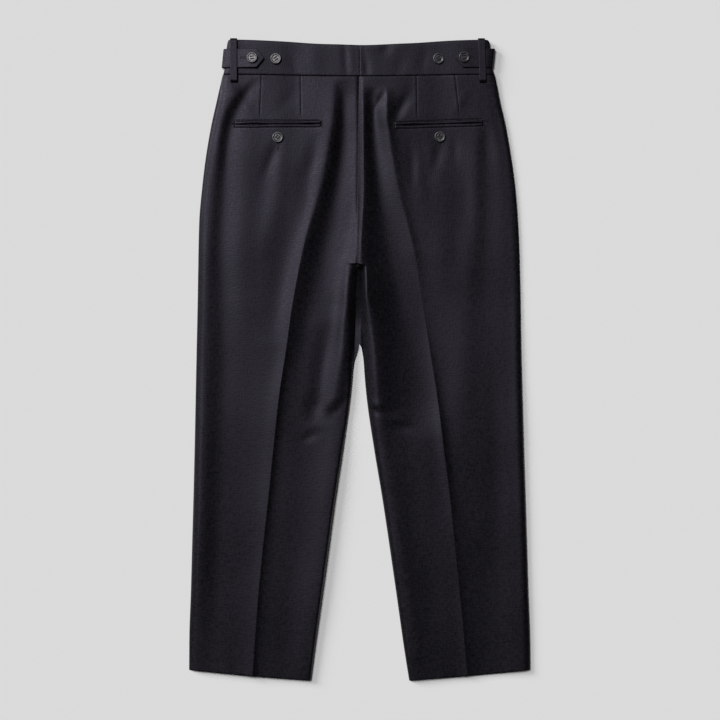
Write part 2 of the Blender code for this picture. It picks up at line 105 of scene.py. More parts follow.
def eased(at: Array, xs: Array, ys: Array) -> Array:
    """Read a smooth curve through table points that never overshoots them.

    Args:
        at: Where to read it.
        xs: Rising positions of the points.
        ys: Values at the points.

    Returns:
        The curve's values, held past both ends.
    """
    at = np.clip(np.asarray(at, float), xs[0], xs[-1])
    steps = np.diff(xs)
    slopes = np.diff(ys) / steps
    tangents = np.zeros(len(xs))
    tangents[0], tangents[-1] = slopes[0], slopes[-1]
    for index in range(1, len(xs) - 1):
        before, after = slopes[index - 1], slopes[index]
        if before * after > 0:
            tangents[index] = 2 * before * after / (before + after)
    place = np.clip(np.searchsorted(xs, at, side="right") - 1, 0, len(xs) - 2)
    share = (at - xs[place]) / steps[place]
    start = ys[place] * (1 + 2 * share) * (1 - share) ** 2
    start += steps[place] * tangents[place] * share * (1 - share) ** 2
    end = ys[place + 1] * share**2 * (3 - 2 * share)
    end += steps[place] * tangents[place + 1] * share**2 * (share - 1)
    return start + end


def read(rows: tuple, down: Array, *names: str) -> list[Array]:
    """Read smooth curves through some columns of a table.

    Args:
        rows: The table's rows, which have a column named down.
        down: Distances down to read at.
        names: The columns.

    Returns:
        The values of each column.
    """
    downs = column(rows, "down")
    return [eased(down, downs, column(rows, name)) for name in names]


def smooth_step(value: Array) -> Array:
    """Ease from 0 to 1 as the value does."""
    held = np.clip(value, 0.0, 1.0)
    return held * held * (3 - 2 * held)


def ramp(value: Array, start: float, width: float) -> Array:
    """Ease from 0 at a start to 1 at a width beyond it."""
    return smooth_step((value - start) / width)


def arch(distance: Array, width: float) -> Array:
    """Rise of a quarter circle, from 0 at an edge to 1 at its width away."""
    share = 1 - np.clip(distance / width, 0, 1)
    return np.sqrt(np.clip(1 - share**2, 0, 1))


def curled(width: float, count: int) -> Array:
    """Distances from an edge of the points that a quarter circle needs, closest at the edge."""
    return width * (1 - np.cos(np.linspace(0, 0.5 * math.pi, count)))


def spaced(start: float, end: float, step: float) -> Array:
    """Even values from start to end, no further apart than a step, ends included."""
    count = max(2, int(math.ceil(abs(end - start) / step)) + 1)
    return np.linspace(start, end, count)


def both_ways(offsets: tuple[float, ...]) -> list[float]:
    """Offsets on both sides of a line, with the line itself in the middle."""
    return [*(-offset for offset in offsets[::-1]), 0.0, *offsets]


def stretches(rows: tuple) -> Array:
    """Even values through stretches that each have a start, an end and a step."""
    return np.unique(np.round(np.concatenate([spaced(*row) for row in rows]), 4))


class Outline(NamedTuple):
    """X of the cut edges and pressed creases at one distance down."""

    down: float
    left_outer: float
    left_crease: float
    left_inner: float
    right_inner: float
    right_crease: float
    right_outer: float


OUTLINE = table(
    Outline,
    (52, -205.4, -38, -1, -1, 38, 202.6),
    (95, -215.6, -42, -1.6, -1.6, 41.5, 211.8),
    (130, -223.4, -45.5, -1.9, -1.9, 45.5, 219.8),
    (182, -232.1, -53, -2.4, -2.4, 53, 228.6),
    (226, -237.3, -65, -2.8, -2.8, 61.5, 234.3),
    (271, -241.2, -76, -3.3, -3.3, 72.5, 237.8),
    (316, -242.4, -86, -3.7, -3.7, 82.5, 239.9),
    (337, -242.7, -90, -3.8, -3.8, 85.8, 240.5),
    (339, -242.7, -90.3, -4.2, 4.6, 86.1, 240.5),
    (342, -242.8, -90.8, -4.4, 5.2, 86.6, 240.6),
    (391, -243.6, -99.8, -6, 3.2, 94, 241.7),
    (430, -244.4, -105, -7.4, 2.8, 100.2, 242.2),
    (466, -245.2, -110.3, -8.6, 5, 105.8, 242.8),
    (505, -246, -116, -10.8, 7.4, 111.8, 243.8),
    (541, -246.7, -121.5, -14.4, 10.8, 117, 244.7),
    (616, -248.2, -129.8, -25, 21.8, 126, 246.7),
    (691, -249.9, -137, -36.5, 34.3, 135, 248.9),
    (766, -251.9, -145, -46.7, 45.5, 143, 251.1),
    (841, -253.8, -152.3, -57, 56.3, 150.4, 253.3),
    (916, -256.2, -158.3, -67.2, 66.9, 157.3, 255.9),
    (963, -256.5, -161, -73.2, 74.4, 163, 256.5),
)


def edge(side: Side, which: str, down: Array) -> Array:
    """X of a panel's outer edge, crease or inner edge at some distances down."""
    return read(OUTLINE, down, f"{side.value}_{which}")[0]


class FrontInner(NamedTuple):
    """Where the two front panels end under the crotch, a distance down. Between the legs they stay closed
    across the gap down to 455, a dark sheet of cloth painted in for the floor there, which lies in deep
    shadow.
    """

    down: float
    left: float
    right: float


# Painted shade: from the crotch down to 455 the two front panels meet across the gap between the legs, a dark
# sheet in place of the floor's deep shadow there; below that they part and the floor shows.
FRONT_INNERS = table(
    FrontInner,
    (337, -3.82, -3.78),
    (350, -1.31, -1.29),
    (455, -1.31, -1.29),
    (462, -1.8, 2.6),
    (471, -3.8, 4.6),
    (483, -7.4, 5.8),
    (494, -9.2, 6.8),
    (505, -10.3, 7.8),
    (541, -13.9, 11.3),
)


class FoldPoint(NamedTuple):
    """A point on a fold's line. A negative height is a trough."""

    down: float
    x: float
    height: float
    left_width: float
    right_width: float


@dataclass(frozen=True)
class Fold:
    """A long crease or trough that runs down the cloth."""

    kind: FoldKind
    points: tuple[FoldPoint, ...]

    def height(self, x: Array, down: Array) -> Array:
        """Height that the fold adds.

        Args:
            x: Where across the cloth.
            down: Where down the cloth.

        Returns:
            The heights, which are 0 past the fold's ends.
        """
        line, left, right, height = read(self.points, down, "x", "left_width", "right_width", "height")
        away = x - line
        across = np.abs(away) / np.where(away < 0, left, right)
        inside = (down >= self.points[0].down) & (down <= self.points[-1].down)
        return np.where(inside, height * np.exp(-(across**self.kind.value)), 0.0)


def fold(kind: FoldKind, *rows: tuple) -> Fold:
    """A fold from its rows of down, x, height, left width and right width."""
    return Fold(kind, table(FoldPoint, *rows))


class Dent(NamedTuple):
    """A short soft hollow or swelling. The turn is from straight down towards +X, in degrees."""

    x: float
    down: float
    height: float
    length: float
    width: float
    turn: float

    def at(self, x: Array, down: Array) -> Array:
        """Height that the dent adds.

        Args:
            x: Where across the cloth.
            down: Where down the cloth.

        Returns:
            The heights.
        """
        angle = math.radians(self.turn)
        along = (down - self.down) * math.cos(angle) + (x - self.x) * math.sin(angle)
        across = (x - self.x) * math.cos(angle) - (down - self.down) * math.sin(angle)
        return self.height * np.exp(-((along / self.length) ** 2) - (across / self.width) ** 2)


SEAM_RIDGE = (
    # The swell that ends at the centre seam, which both halves share down to the crotch.
    fold(
        FoldKind.ROLLED,
        (54, 4, 0, 6, 8), (90, 5, 2, 6, 10), (114, 5.5, 3.2, 6, 10), (141, 5.5, 4, 6.5, 12),
        (174, 5.5, 4.6, 7, 13), (216, 5.5, 5.4, 7, 15), (241, 5, 6, 7, 16), (280, 3, 6.8, 9, 20),
        (316, 0.5, 7.2, 11, 24), (345, -1, 6.4, 14, 26), (380, 0, 3.6, 14, 26), (430, 0, 0, 14, 26),
    ),
)

LEFT_FOLDS = SEAM_RIDGE + (
    # The pressed crease.
    fold(
        FoldKind.PRESSED,
        (230, -60, 0, 12, 8), (300, -81, 0.8, 14, 8), (390, -99.5, 2.2, 12, 8), (470, -111, 2.8, 13, 7),
        (540, -121.5, 3.6, 12, 6), (620, -130, 3.4, 12, 6), (700, -138, 3, 12, 6),
        (770, -145.5, 2.4, 12, 6), (840, -152, 2.4, 12, 6), (963, -161, 3, 12, 6),
    ),
    # The seat crest.
    fold(
        FoldKind.ROLLED,
        (54, -39, 0, 14, 8), (80, -38.5, 0.4, 14, 8), (110, -38.5, 1, 15, 8), (141, -43, 1.4, 17, 10),
        (180, -49.5, 1.6, 18, 12), (216, -56, 1.5, 16, 12), (253, -67, 1.4, 15, 13),
        (291, -79, 1.4, 14, 13), (328, -88.3, 1.3, 14, 13), (390, -99.5, 0.5, 16, 12),
        (470, -110.5, 0, 20, 12),
    ),
    # The seat groove, between the crest and the centre seam.
    fold(
        FoldKind.SOFT,
        (60, -27, 0, 8, 12), (85, -24, -1.4, 8, 12), (110, -24.5, -2, 8, 12), (141, -25, -2.6, 10, 14),
        (174, -28, -2.8, 11, 15), (216, -34, -2.8, 13, 18), (241, -38, -2.7, 15, 20),
        (280, -44, -2.6, 17, 22), (316, -52, -2.4, 19, 22), (350, -55, -1.8, 20, 22),
        (391, -60, -1, 24, 22), (430, -62, 0, 24, 20),
    ),
    # The groove above the knee.
    fold(
        FoldKind.SOFT,
        (420, -50, 0, 12, 14), (466, -53, -1.4, 13, 12), (505, -57, -2.1, 14, 13),
        (545, -62, -2.4, 13, 13), (580, -68, 0, 12, 16),
    ),
    # The inner thigh's roll, down to the knee.
    fold(
        FoldKind.ROLLED,
        (290, -10, 0, 10, 9), (340, -16, 1.6, 9, 10), (374, -19, 4, 9, 10), (391, -20, 4.8, 9, 11),
        (424, -23.5, 5.4, 10, 13), (466, -26, 5.4, 12, 14), (505, -31, 4.2, 16, 15),
        (541, -36, 2.3, 18, 16), (570, -38, 0, 18, 14),
    ),
    # The inner edge's roll, below the knee.
    fold(
        FoldKind.SOFT,
        (560, -30, 0, 24, 12), (620, -34, 2.6, 25, 12), (700, -44, 3.2, 25, 12),
        (770, -52, 3.8, 24, 12), (840, -61, 3.6, 23, 12), (916, -71, 2.2, 22, 12),
        (963, -76, 0.6, 22, 12),
    ),
    # The outseam's roll.
    fold(
        FoldKind.SOFT,
        (60, -192, 0, 22, 20), (92, -198, 3.2, 20, 18), (140, -210, 1.9, 14, 12),
        (240, -221, 0.4, 8, 8), (400, -231, 0.5, 9, 9), (470, -233, 0.8, 13, 12),
        (541, -234, 2.4, 16, 16), (620, -236, 3.8, 19, 20), (700, -238, 5, 20, 23),
        (770, -241, 5, 19, 22), (840, -243, 4, 16, 21), (916, -242, 1.6, 12, 19),
        (963, -242, 0.8, 10, 17),
    ),
    # The groove beside the outseam.
    fold(
        FoldKind.SOFT,
        (56, -153, 0, 7, 12), (90, -178, -1.3, 6, 12), (120, -194, -1.6, 6, 12),
        (160, -201, -1.7, 6, 15), (240, -204, -1.4, 11, 17), (316, -208, -1.7, 14, 17),
        (390, -205, -2, 16, 20), (466, -202, -2.4, 18, 24), (541, -200, -1.3, 18, 23),
        (620, -196, -0.3, 18, 23), (700, -194, 0.8, 18, 23), (770, -195, 1.2, 18, 23),
        (840, -198, 0.8, 19, 21), (963, -205, 0.9, 20, 17),
    ),
    # The hollow beside the seat crest.
    fold(
        FoldKind.SOFT,
        (140, -66, 0, 12, 9), (172, -68, -0.9, 13, 10), (205, -77, -1.2, 16, 11),
        (241, -81, -1.3, 20, 13), (316, -101, -1.3, 24, 14), (391, -120, -1.1, 26, 16),
        (460, -138, 0, 26, 20),
    ),
    # The swelling under the pocket.
    fold(
        FoldKind.SOFT,
        (170, -121, 0, 10, 14), (205, -120, 0.7, 12, 14), (250, -128, 0.8, 16, 15),
        (290, -138, 0.6, 14, 18), (335, -148, 0, 12, 18),
    ),
)

RIGHT_FOLDS = SEAM_RIDGE + (
    # The pressed crease.
    fold(
        FoldKind.PRESSED,
        (250, 65, 0, 8, 7), (316, 81.5, 0.4, 10, 7), (390, 93.5, 0.8, 12, 7), (466, 105.5, 1.2, 11, 6),
        (541, 117, 2, 9, 6), (616, 126, 3, 7, 6), (691, 135.5, 2, 8, 6), (766, 143, 1.2, 9, 6),
        (841, 150.5, 1.5, 9, 6), (963, 162, 1.7, 8, 6),
    ),
    # The seat trough, down to above the knee.
    fold(
        FoldKind.SOFT,
        (70, 18, 0, 8, 8), (90, 19, -2.4, 9, 9), (114, 21, -3.4, 11, 10), (141, 21, -3.4, 11, 14),
        (174, 24, -3.2, 12, 18), (216, 30, -3, 14, 22), (241, 34, -2.8, 16, 24),
        (280, 42, -2.9, 20, 28), (316, 52, -3.2, 25, 34), (350, 65, -3.4, 30, 54),
        (391, 78, -3.6, 34, 72), (466, 86, -3.2, 36, 66), (541, 88, -2.4, 36, 40), (600, 88, 0, 28, 20),
    ),
    # The seat crest.
    fold(
        FoldKind.ROLLED,
        (66, 39, 0, 12, 8), (90, 41, 2, 12, 8), (114, 41, 2.6, 13, 8), (141, 44, 2.2, 15, 8),
        (174, 48.5, 2, 18, 9), (216, 56, 1.8, 20, 10), (241, 62, 1.6, 22, 9), (279, 72, 1.6, 24, 7.5),
        (316, 81, 1.4, 24, 7.5), (354, 89, 0.6, 22, 9), (391, 93.5, 0.3, 20, 10),
        (436, 100, 0.1, 20, 12), (541, 117, 0, 14, 12),
    ),
    # The inner thigh's roll, down to the hem.
    fold(
        FoldKind.ROLLED,
        (290, 3, 0, 12, 24), (340, 7, 2.4, 13, 27), (374, 10, 6.6, 16, 28), (391, 12, 8, 16, 29),
        (424, 16, 8.8, 18, 31), (466, 21, 8.4, 18, 32), (505, 24, 7.6, 18, 31), (541, 27, 6.4, 20, 29),
        (616, 35, 4, 20, 26), (691, 47, 3.3, 20, 25), (766, 61, 3.3, 19, 24), (841, 73, 2.8, 17, 24),
        (916, 83, 1.2, 15, 23), (963, 89, 0.2, 14, 22),
    ),
    # The shallow hollow in the middle of the seat.
    fold(
        FoldKind.SOFT,
        (110, 120, 0, 30, 20), (160, 132, -1.2, 36, 22), (241, 138, -1.2, 40, 24),
        (316, 140, -1, 40, 20), (400, 140, 0, 36, 20),
    ),
    # The wide hollow beside the outseam.
    fold(
        FoldKind.SOFT,
        (120, 188, 0, 8, 10), (160, 190, -1.2, 9, 14), (226, 192, -1.3, 13, 26),
        (316, 193, -1.7, 19, 30), (390, 194, -1.6, 28, 28), (466, 196, -1.5, 36, 24),
        (541, 197, -1.3, 40, 20), (691, 201, -1.1, 40, 20), (841, 205, -1.6, 38, 22),
        (963, 207, -1.8, 38, 24),
    ),
    # The outseam's roll.
    fold(
        FoldKind.SOFT,
        (67, 196, 0, 6, 6), (167, 217, -0.8, 8, 6), (242, 227, -0.4, 12, 6), (390, 240, 0.7, 14, 6),
        (541, 247, 1.5, 16, 6), (766, 251, 1.2, 17, 8), (963, 251, 0.3, 17, 9),
    ),
)

DENTS = table(
    Dent,
    # Beside the seat crest, under the waist seam.
    (31, 90, -1.5, 13, 5, -27),
    (61, 102, -1.5, 22, 8, -30),
    # Behind the left knee.
    (-34.5, 554, -1.4, 15, 6, -41),
    (-44, 545, 0.5, 15, 7, -41),
    (-76, 597, -0.9, 12, 6, -60),
    (-73, 552, -0.7, 14, 8, 0),
    # Behind the right knee.
    (30, 558, -1.1, 12, 5.5, 80),
    (31, 549, 0.8, 14, 8, 80),
    (62, 582, -1.2, 13, 7, 74),
    (60, 571, 0.8, 13, 8, 74),
    # Below the pockets.
    (-132, 178, -1, 28, 8, -19),
    (79, 188, -0.8, 30, 8, 2),
    (117, 174, -0.9, 26, 7.5, -14),
    (143.5, 166, -0.5, 18, 6, 0),
    (98, 190, -0.6, 44, 10, 10),
    (160, 250, -0.5, 60, 12, 4),
    # Between the waist seam and the pockets.
    (-180, 90, 0.6, 26, 9, 40),
    (-110, 92, -0.3, 22, 9, -40),
    (150, 95, 0.3, 20, 8, -30),
)

BAND_DENTS = table(
    Dent,
    (-21.5, 30, -0.5, 26, 5, 4),
    (-12, 34, 0.15, 24, 5, 4),
    (11, 44, -0.5, 16, 5, 0),
    (7, 28, -0.25, 22, 4, 4),
    (40, 14, -0.5, 10, 7, -40),
    (60, 40, -0.4, 20, 10, -20),
    (-70, 30, 0.4, 24, 14, 10),
    (-100, 34, -0.4, 20, 9, 20),
    (96, 30, -0.4, 20, 9, -10),
)


class StepPoint(NamedTuple):
    """A point on the line where the left half's high cloth steps down towards the centre seam."""

    down: float
    x: float
    height: float
    width: float


SEAT_STEP = table(
    StepPoint,
    (54, -33, 0, 10),
    (114, -33, 1, 9),
    (141, -35, 1.4, 10),
    (174, -38, 1.8, 11),
    (216, -46, 1.8, 12),
    (241, -53, 1.8, 13),
    (280, -63, 1.8, 14),
    (316, -72, 1.8, 14),
    (391, -86, 1.8, 12),
    (430, -92, 1.4, 10),
    (520, -102, 0.5, 12),
    (600, -110, 0, 14),
)


class ThighRoll(NamedTuple):
    """How a leg's inner edge turns down. A roundness of 2 is a quarter circle and 1 is a straight ramp."""

    down: float
    reach: float
    roundness: float
    low: float


THIGH_ROLLS = {
    Side.LEFT: table(
        ThighRoll,
        (337, 13, 1.15, 6.6),
        (346, 12.5, 1.15, 5.4),
        (358, 12, 1.15, 4.8),
        (390, 11, 1.2, 4.2),
        (440, 8.5, 1.4, 3.6),
        (490, 7.5, 1.7, 2.3),
        (550, 4.5, 2, 2.3),
        (963, 4.5, 2, 2.3),
    ),
    Side.RIGHT: table(
        ThighRoll,
        (337, 4, 1.4, 7.6),
        (346, 4.5, 1.4, 7.4),
        (362, 5.5, 1.3, 7),
        (400, 8, 1.3, 6),
        (440, 12, 1.4, 4.6),
        (520, 14, 1.6, 2.8),
        (600, 9, 2, 2.3),
        (963, 7, 2, 2.3),
    ),
}


class Gather(NamedTuple):
    """Share of a wave in the slow unevenness of cloth that lies on a surface."""

    length: float
    angle: float
    phase: float
    height: float


GATHERS = table(
    Gather,
    (212, 12, 0.6, 0.34),
    (157, -23, 2.1, 0.26),
    (96, 8, 4, 0.18),
    (71, -9, 1.2, 0.13),
    (43, 4, 5.3, 0.07),
    (133, 71, 3.3, 0.16),
)


class Dart(NamedTuple):
    """A dart's stitched line, from the waist seam to the pocket."""

    side: Side
    top_x: float
    end_x: float
    end_down: float


DARTS = table(
    Dart,
    (Side.LEFT, -147.0, -149.7, 121.0),
    (Side.LEFT, -88.5, -87.8, 119.0),
    (Side.RIGHT, 85.5, 86.6, 121.0),
    (Side.RIGHT, 143.0, 151.0, 119.0),
)


@dataclass(frozen=True)
class Sizes:
    """Driving sizes of the whole garment."""

    length: float = 963.0
    waist_down: float = 52.5
    crotch_down: float = 337.0
    hem_slant: float = 16.0
    cloth: float = 1.0
    seam_gap: float = 0.04
    front_top: float = 1.15
    strap_lift: float = 1.7

    @property
    def top_y(self) -> float:
        """Y of the waistband's top edge: the garment is centred on the origin."""
        return 0.5 * self.length


SIZES = Sizes()


def dip(x: Array, depth: float) -> Array:
    """How far an edge of the waistband sags towards the centre."""
    return depth * np.cos(0.5 * math.pi * np.minimum(1.0, np.abs(x) / 195.0)) ** 2


def side_lift(x: Array, down: Array) -> Array:
    """How far the front layer rises at the waist's sides, over the ends of the adjuster straps."""
    return SIZES.strap_lift * ramp(np.abs(x), 145.0, 30.0) * (1 - ramp(down, 55.0, 45.0))


def waves(x: Array, down: Array) -> Array:
    """Slow unevenness of the laid cloth.

    Args:
        x: Where across the cloth.
        down: Where down the cloth.

    Returns:
        Heights above and below the middle.
    """
    total = np.zeros_like(x + down)
    for gather in GATHERS:
        angle = math.radians(gather.angle)
        along = x * math.cos(angle) + down * math.sin(angle)
        total += gather.height * np.sin(math.tau * along / gather.length + gather.phase)
    return total


def seat_step(x: Array, down: Array) -> Array:
    """How far the left half lies above the middle height, and the rest below it."""
    line, width, height = read(SEAT_STEP, down, "x", "width", "height")
    return -height * np.tanh((x - line) / width)


@dataclass(frozen=True)
class Pocket:
    """A jetted back pocket from end to end, and the button below it."""

    side: Side
    left_x: float
    right_x: float
    left_down: float
    right_down: float
    button_x: float
    button_down: float
    button_lean: float
    lip: float = 4.6
    slit: float = 0.3
    depth: float = 2.6

    def middle(self, x: Array) -> Array:
        """Distance down of the slit at some x."""
        share = (x - self.left_x) / (self.right_x - self.left_x)
        return self.left_down + (self.right_down - self.left_down) * np.clip(share, 0, 1)

    def gape(self, x: Array) -> Array:
        """Half of the slit's opening, widest near both ends and closed at them.

        Args:
            x: Where across the cloth.

        Returns:
            The half widths.
        """
        share = np.clip((x - self.left_x) / (self.right_x - self.left_x), 0, 1)
        wider = 5.0 * np.exp(-(((share - 0.19) / 0.13) ** 2)) + 4.0 * np.exp(-(((share - 0.87) / 0.1) ** 2))
        return 0.5 * self.slit * np.clip(np.sin(math.pi * share), 0, 1) ** 0.3 * (1 + wider)

    def trench(self, x: Array, down: Array) -> Array:
        """How far the cloth falls away behind the slit, and along the lips' outer edges.

        Args:
            x: Where across the cloth.
            down: Where down the cloth.

        Returns:
            The heights, 0 or less.
        """
        within = ramp(x, self.left_x, 4) * smooth_step((self.right_x - x) / 4)
        away = down - self.middle(x)
        ditch = np.exp(-(((np.abs(away) - self.lip - 0.9) / 0.75) ** 2)) * np.where(away < 0, 0.5, 0.15)
        return -within * (self.depth * np.exp(-((away / 1.6) ** 4)) + ditch)


POCKETS = table(
    Pocket,
    (Side.LEFT, -188.0, -57.8, 127.6, 126.6, -122.8, 147.2, 1.5),
    (Side.RIGHT, 52.5, 185.7, 128.7, 124.9, 120.3, 146.0, -0.5),
)


@dataclass(frozen=True)
class BackPanelForm:
    """The shape that a back panel lies in."""

    side: Side
    base: float = 7.2
    lowest: float = 2.7
    outer_low: float = 2.3
    outer_roll: float = 11.0
    seam_roll: float = 2.4
    seam_sink: float = 1.3
    waist_roll: float = 1.3
    waist_sink: float = 0.55
    waist_lift: float = 1.2
    landing: float = 1.2
    dart_groove: float = 0.2
    dart_fuller: float = 0.14

    @property
    def folds(self) -> tuple[Fold, ...]:
        """The folds on this half."""
        return LEFT_FOLDS if self.side is Side.LEFT else RIGHT_FOLDS

    def body(self, x: Array, down: Array) -> Array:
        """Height of the cloth away from its edges.

        Args:
            x: Where across the cloth.
            down: Where down the cloth.

        Returns:
            The heights.
        """
        total = self.base + seat_step(x, down) + waves(x, down)
        for crease in self.folds:
            total = total + crease.height(x, down)
        for dent in DENTS:
            if dent.x * self.side.turn < 0:
                total = total + dent.at(x, down)
        return total

    def above_front(self, body: Array) -> Array:
        """Keep the cloth above the front panel, with a soft landing."""
        spare = body - self.lowest
        return self.lowest + 0.5 * (spare + np.sqrt(spare**2 + self.landing))

    def dart_step(self, dart: Dart, x: Array, down: Array) -> Array:
        """A dart's narrow groove, with the cloth a little fuller on its left.

        Args:
            dart: The dart.
            x: Where across the cloth.
            down: Where down the cloth.

        Returns:
            The heights that it adds.
        """
        share = np.clip((down - SIZES.waist_down) / (dart.end_down - SIZES.waist_down), 0, 1)
        away = dart.top_x + (dart.end_x - dart.top_x) * share - x
        groove = -self.dart_groove * np.exp(-((away / 0.9) ** 2))
        fuller = self.dart_fuller * np.exp(-(((away - 2.4) / 2.4) ** 2))
        return (1 - ramp(down, dart.end_down - 14, 14)) * (groove + fuller)

    def height(self, x: Array, down: Array) -> Array:
        """Height of the panel's upper face.

        Args:
            x: Where across the cloth.
            down: Where down the cloth.

        Returns:
            Heights above the surface that the trousers lie on.
        """
        x, down = np.broadcast_arrays(np.asarray(x, float), np.asarray(down, float))
        body = self.body(x, down)
        for dart in DARTS:
            if dart.side is self.side:
                body = body + self.dart_step(dart, x, down)
        for pocket in POCKETS:
            if pocket.side is self.side:
                body = body + pocket.trench(x, down)
        outer, inner = edge(self.side, "outer", down), edge(self.side, "inner", down)
        low = self.outer_low + side_lift(outer, down) + self.waist_lift * (1 - ramp(down, 52, 60))
        shaped = low + (self.above_front(body) - low) * arch(np.abs(x - outer), self.outer_roll)
        reach, power, low = read(THIGH_ROLLS[self.side], down, "reach", "roundness", "low")
        share = 1 - np.clip(np.abs(x - inner) / reach, 0, 1)
        rise = np.clip(1 - share**power, 0, 1) ** (1 / power)
        below = ramp(down, SIZES.crotch_down - 0.8, 1.6)
        shaped = shaped - below * (shaped - low) * (1 - rise)
        seam = self.seam_sink * np.exp(-((np.abs(x - inner) / self.seam_roll) ** 1.5)) * (1 - below)
        waist = np.clip((down - SIZES.waist_down) / self.waist_roll, 0, None)
        return shaped - seam - self.waist_sink * np.exp(-(waist**1.5))


class BandSide(NamedTuple):
    """X of the waistband's two side edges, at a distance across its width."""

    down: float
    left: float
    right: float


BAND_SIDES = table(
    BandSide,
    (0, -195.4, 190.8),
    (1, -197, 192.8),
    (3, -198, 194.4),
    (7, -199, 195.4),
    (30, -201.6, 198),
    (44, -203, 199.6),
    (52.5, -205, 202.3),
)


@dataclass(frozen=True)
class BandForm:
    """The shape of the back waistband."""

    base: float = 7.5
    side_low: float = 5.4
    top_dip: float = 7.9
    seam_dip: float = 2.2
    roll: float = 9.0
    cloth: float = 2.3
    centre_seam: float = 0.2
    top_groove: float = 0.4

    def side_x(self, side: Side, width: Array) -> Array:
        """X of the band's side edge at some distances across its width."""
        return read(BAND_SIDES, width, side.value)[0]

    def top(self, x: Array) -> Array:
        """Distance down of the band's top edge, a little wavy."""
        x = np.asarray(x, float)
        return dip(x, self.top_dip) + 0.35 * np.sin(x / 13.0 + 0.8) * np.clip(1 - np.abs(x) / 190, 0, 1)

    def seam(self, x: Array) -> Array:
        """Distance down of the band's lower edge."""
        return SIZES.waist_down + dip(x, self.seam_dip)

    def height(self, x: Array, down: Array) -> Array:
        """Height of the band's upper face.

        Args:
            x: Where across the band.
            down: Where down the band.

        Returns:
            Heights above the surface that the trousers lie on.
        """
        x, down = np.broadcast_arrays(np.asarray(x, float), np.asarray(down, float))
        top, seam = self.top(x), self.seam(x)
        width = np.clip((down - top) / (seam - top), 0, 1) * SIZES.waist_down
        near = np.minimum(*(np.abs(x - self.side_x(side, width)) for side in Side))
        total = self.base + 0.6 * waves(x, down)
        for dent in BAND_DENTS:
            total = total + dent.at(x, down)
        total = self.side_low + (total - self.side_low) * arch(near, self.roll)
        grooves = self.centre_seam * np.exp(-((np.abs(x) / 0.8) ** 1.5))
        grooves = grooves + self.top_groove * np.exp(-(((down - top - 2.6) / 0.7) ** 2))
        fall = 1.5 * (1 - arch(down - top, 2.2)) + 0.8 * (1 - arch(seam - down, 1.5))
        return total - grooves - fall


def to_metres(x: Array, down: Array, z: Array) -> Array:
    """Points in the frame's metres from x, down and height in millimetres."""
    x, down, z = np.broadcast_arrays(np.asarray(x, float), np.asarray(down, float), np.asarray(z, float))
    return np.stack([x, SIZES.top_y - down, z], axis=-1) * MM


def place_of(x: float, down: float, z: float) -> Vector:
    """A point in the frame's axes, in millimetres."""
    return Vector((x, SIZES.top_y - down, z))


def hex_colour(code: str) -> tuple[float, float, float, float]:
    """Turn an sRGB hex colour into linear values.

    Args:
        code: Six hex digits.

    Returns:
        Red, green, blue and an alpha of one.
    """
    linear = []
    for start in (0, 2, 4):
        value = int(code[start : start + 2], 16) / 255
        linear.append(value / 12.92 if value <= 0.04045 else ((value + 0.055) / 1.055) ** 2.4)
    return (linear[0], linear[1], linear[2], 1.0)


def add_node(tree: Tree, kind: str, settings: dict[Any, Any], links: dict[Any, Socket]) -> bpy.types.Node:
    """Add a node with its settings and links.

    Args:
        tree: The node tree.
        kind: The node's type.
        settings: Attribute names, or input names or numbers, to values.
        links: Input names or numbers to the sockets that feed them.

    Returns:
        The node.
    """
    node = tree.nodes.new(kind)
    for name, value in settings.items():
        if isinstance(name, str) and hasattr(node, name) and name not in node.inputs:
            setattr(node, name, value)
        else:
            node.inputs[name].default_value = value
    for name, socket in links.items():
        tree.links.new(socket, node.inputs[name])
    return node


def noise(tree: Tree, place: Socket, size_mm: float, **settings: float) -> Socket:
    """Soft noise whose patches are about a quarter of its scale, given by their size."""
    scale = {"Scale": 1000 / (4 * size_mm)}
    return add_node(tree, "ShaderNodeTexNoise", scale | settings, {"Vector": place}).outputs["Fac"]


def mapped(tree: Tree, value: Socket, low: float, high: float, to_low: float, to_high: float) -> Socket:
    """Map a range of values onto another."""
    ends = {1: low, 2: high, 3: to_low, 4: to_high}
    return add_node(tree, "ShaderNodeMapRange", ends, {0: value}).outputs[0]


def two_tones(tree: Tree, dark: str, light: str, share: Socket) -> Socket:
    """Blend two hex colours by a share."""
    tones = {"data_type": "RGBA", 6: hex_colour(dark), 7: hex_colour(light)}
    return add_node(tree, "ShaderNodeMix", tones, {0: share}).outputs[2]


def raised(tree: Tree, height: Socket, strength: float, depth_mm: float) -> Socket:
    """Bump that follows a height."""
    settings = {"Strength": strength, "Distance": depth_mm * MM}
    return add_node(tree, "ShaderNodeBump", settings, {"Height": height}).outputs[0]


@dataclass
class Coat:
    """A material while it is made: its tree and its Object coordinates."""

    name: str
    material: Material = field(init=False)
    tree: Tree = field(init=False)
    place: Socket = field(init=False)

    def __post_init__(self) -> None:
        """Start the material with a plain shader."""
        self.material = bpy.data.materials.new(self.name)
        self.material.use_nodes = True
        self.tree = self.material.node_tree
        self.place = add_node(self.tree, "ShaderNodeTexCoord", {}, {}).outputs["Object"]

    def finished(self, patterns: dict[str, Socket], values: dict[str, Any]) -> Material:
        """Feed the shader.

        Args:
            patterns: Shader inputs to what varies over the surface.
            values: Shader inputs to what is the same all over.

        Returns:
            The material.
        """
        shader = self.tree.nodes["Principled BSDF"]
        for name, socket in patterns.items():
            self.tree.links.new(socket, shader.inputs[name])
        for name, value in values.items():
            shader.inputs[name].default_value = value
        return self.material


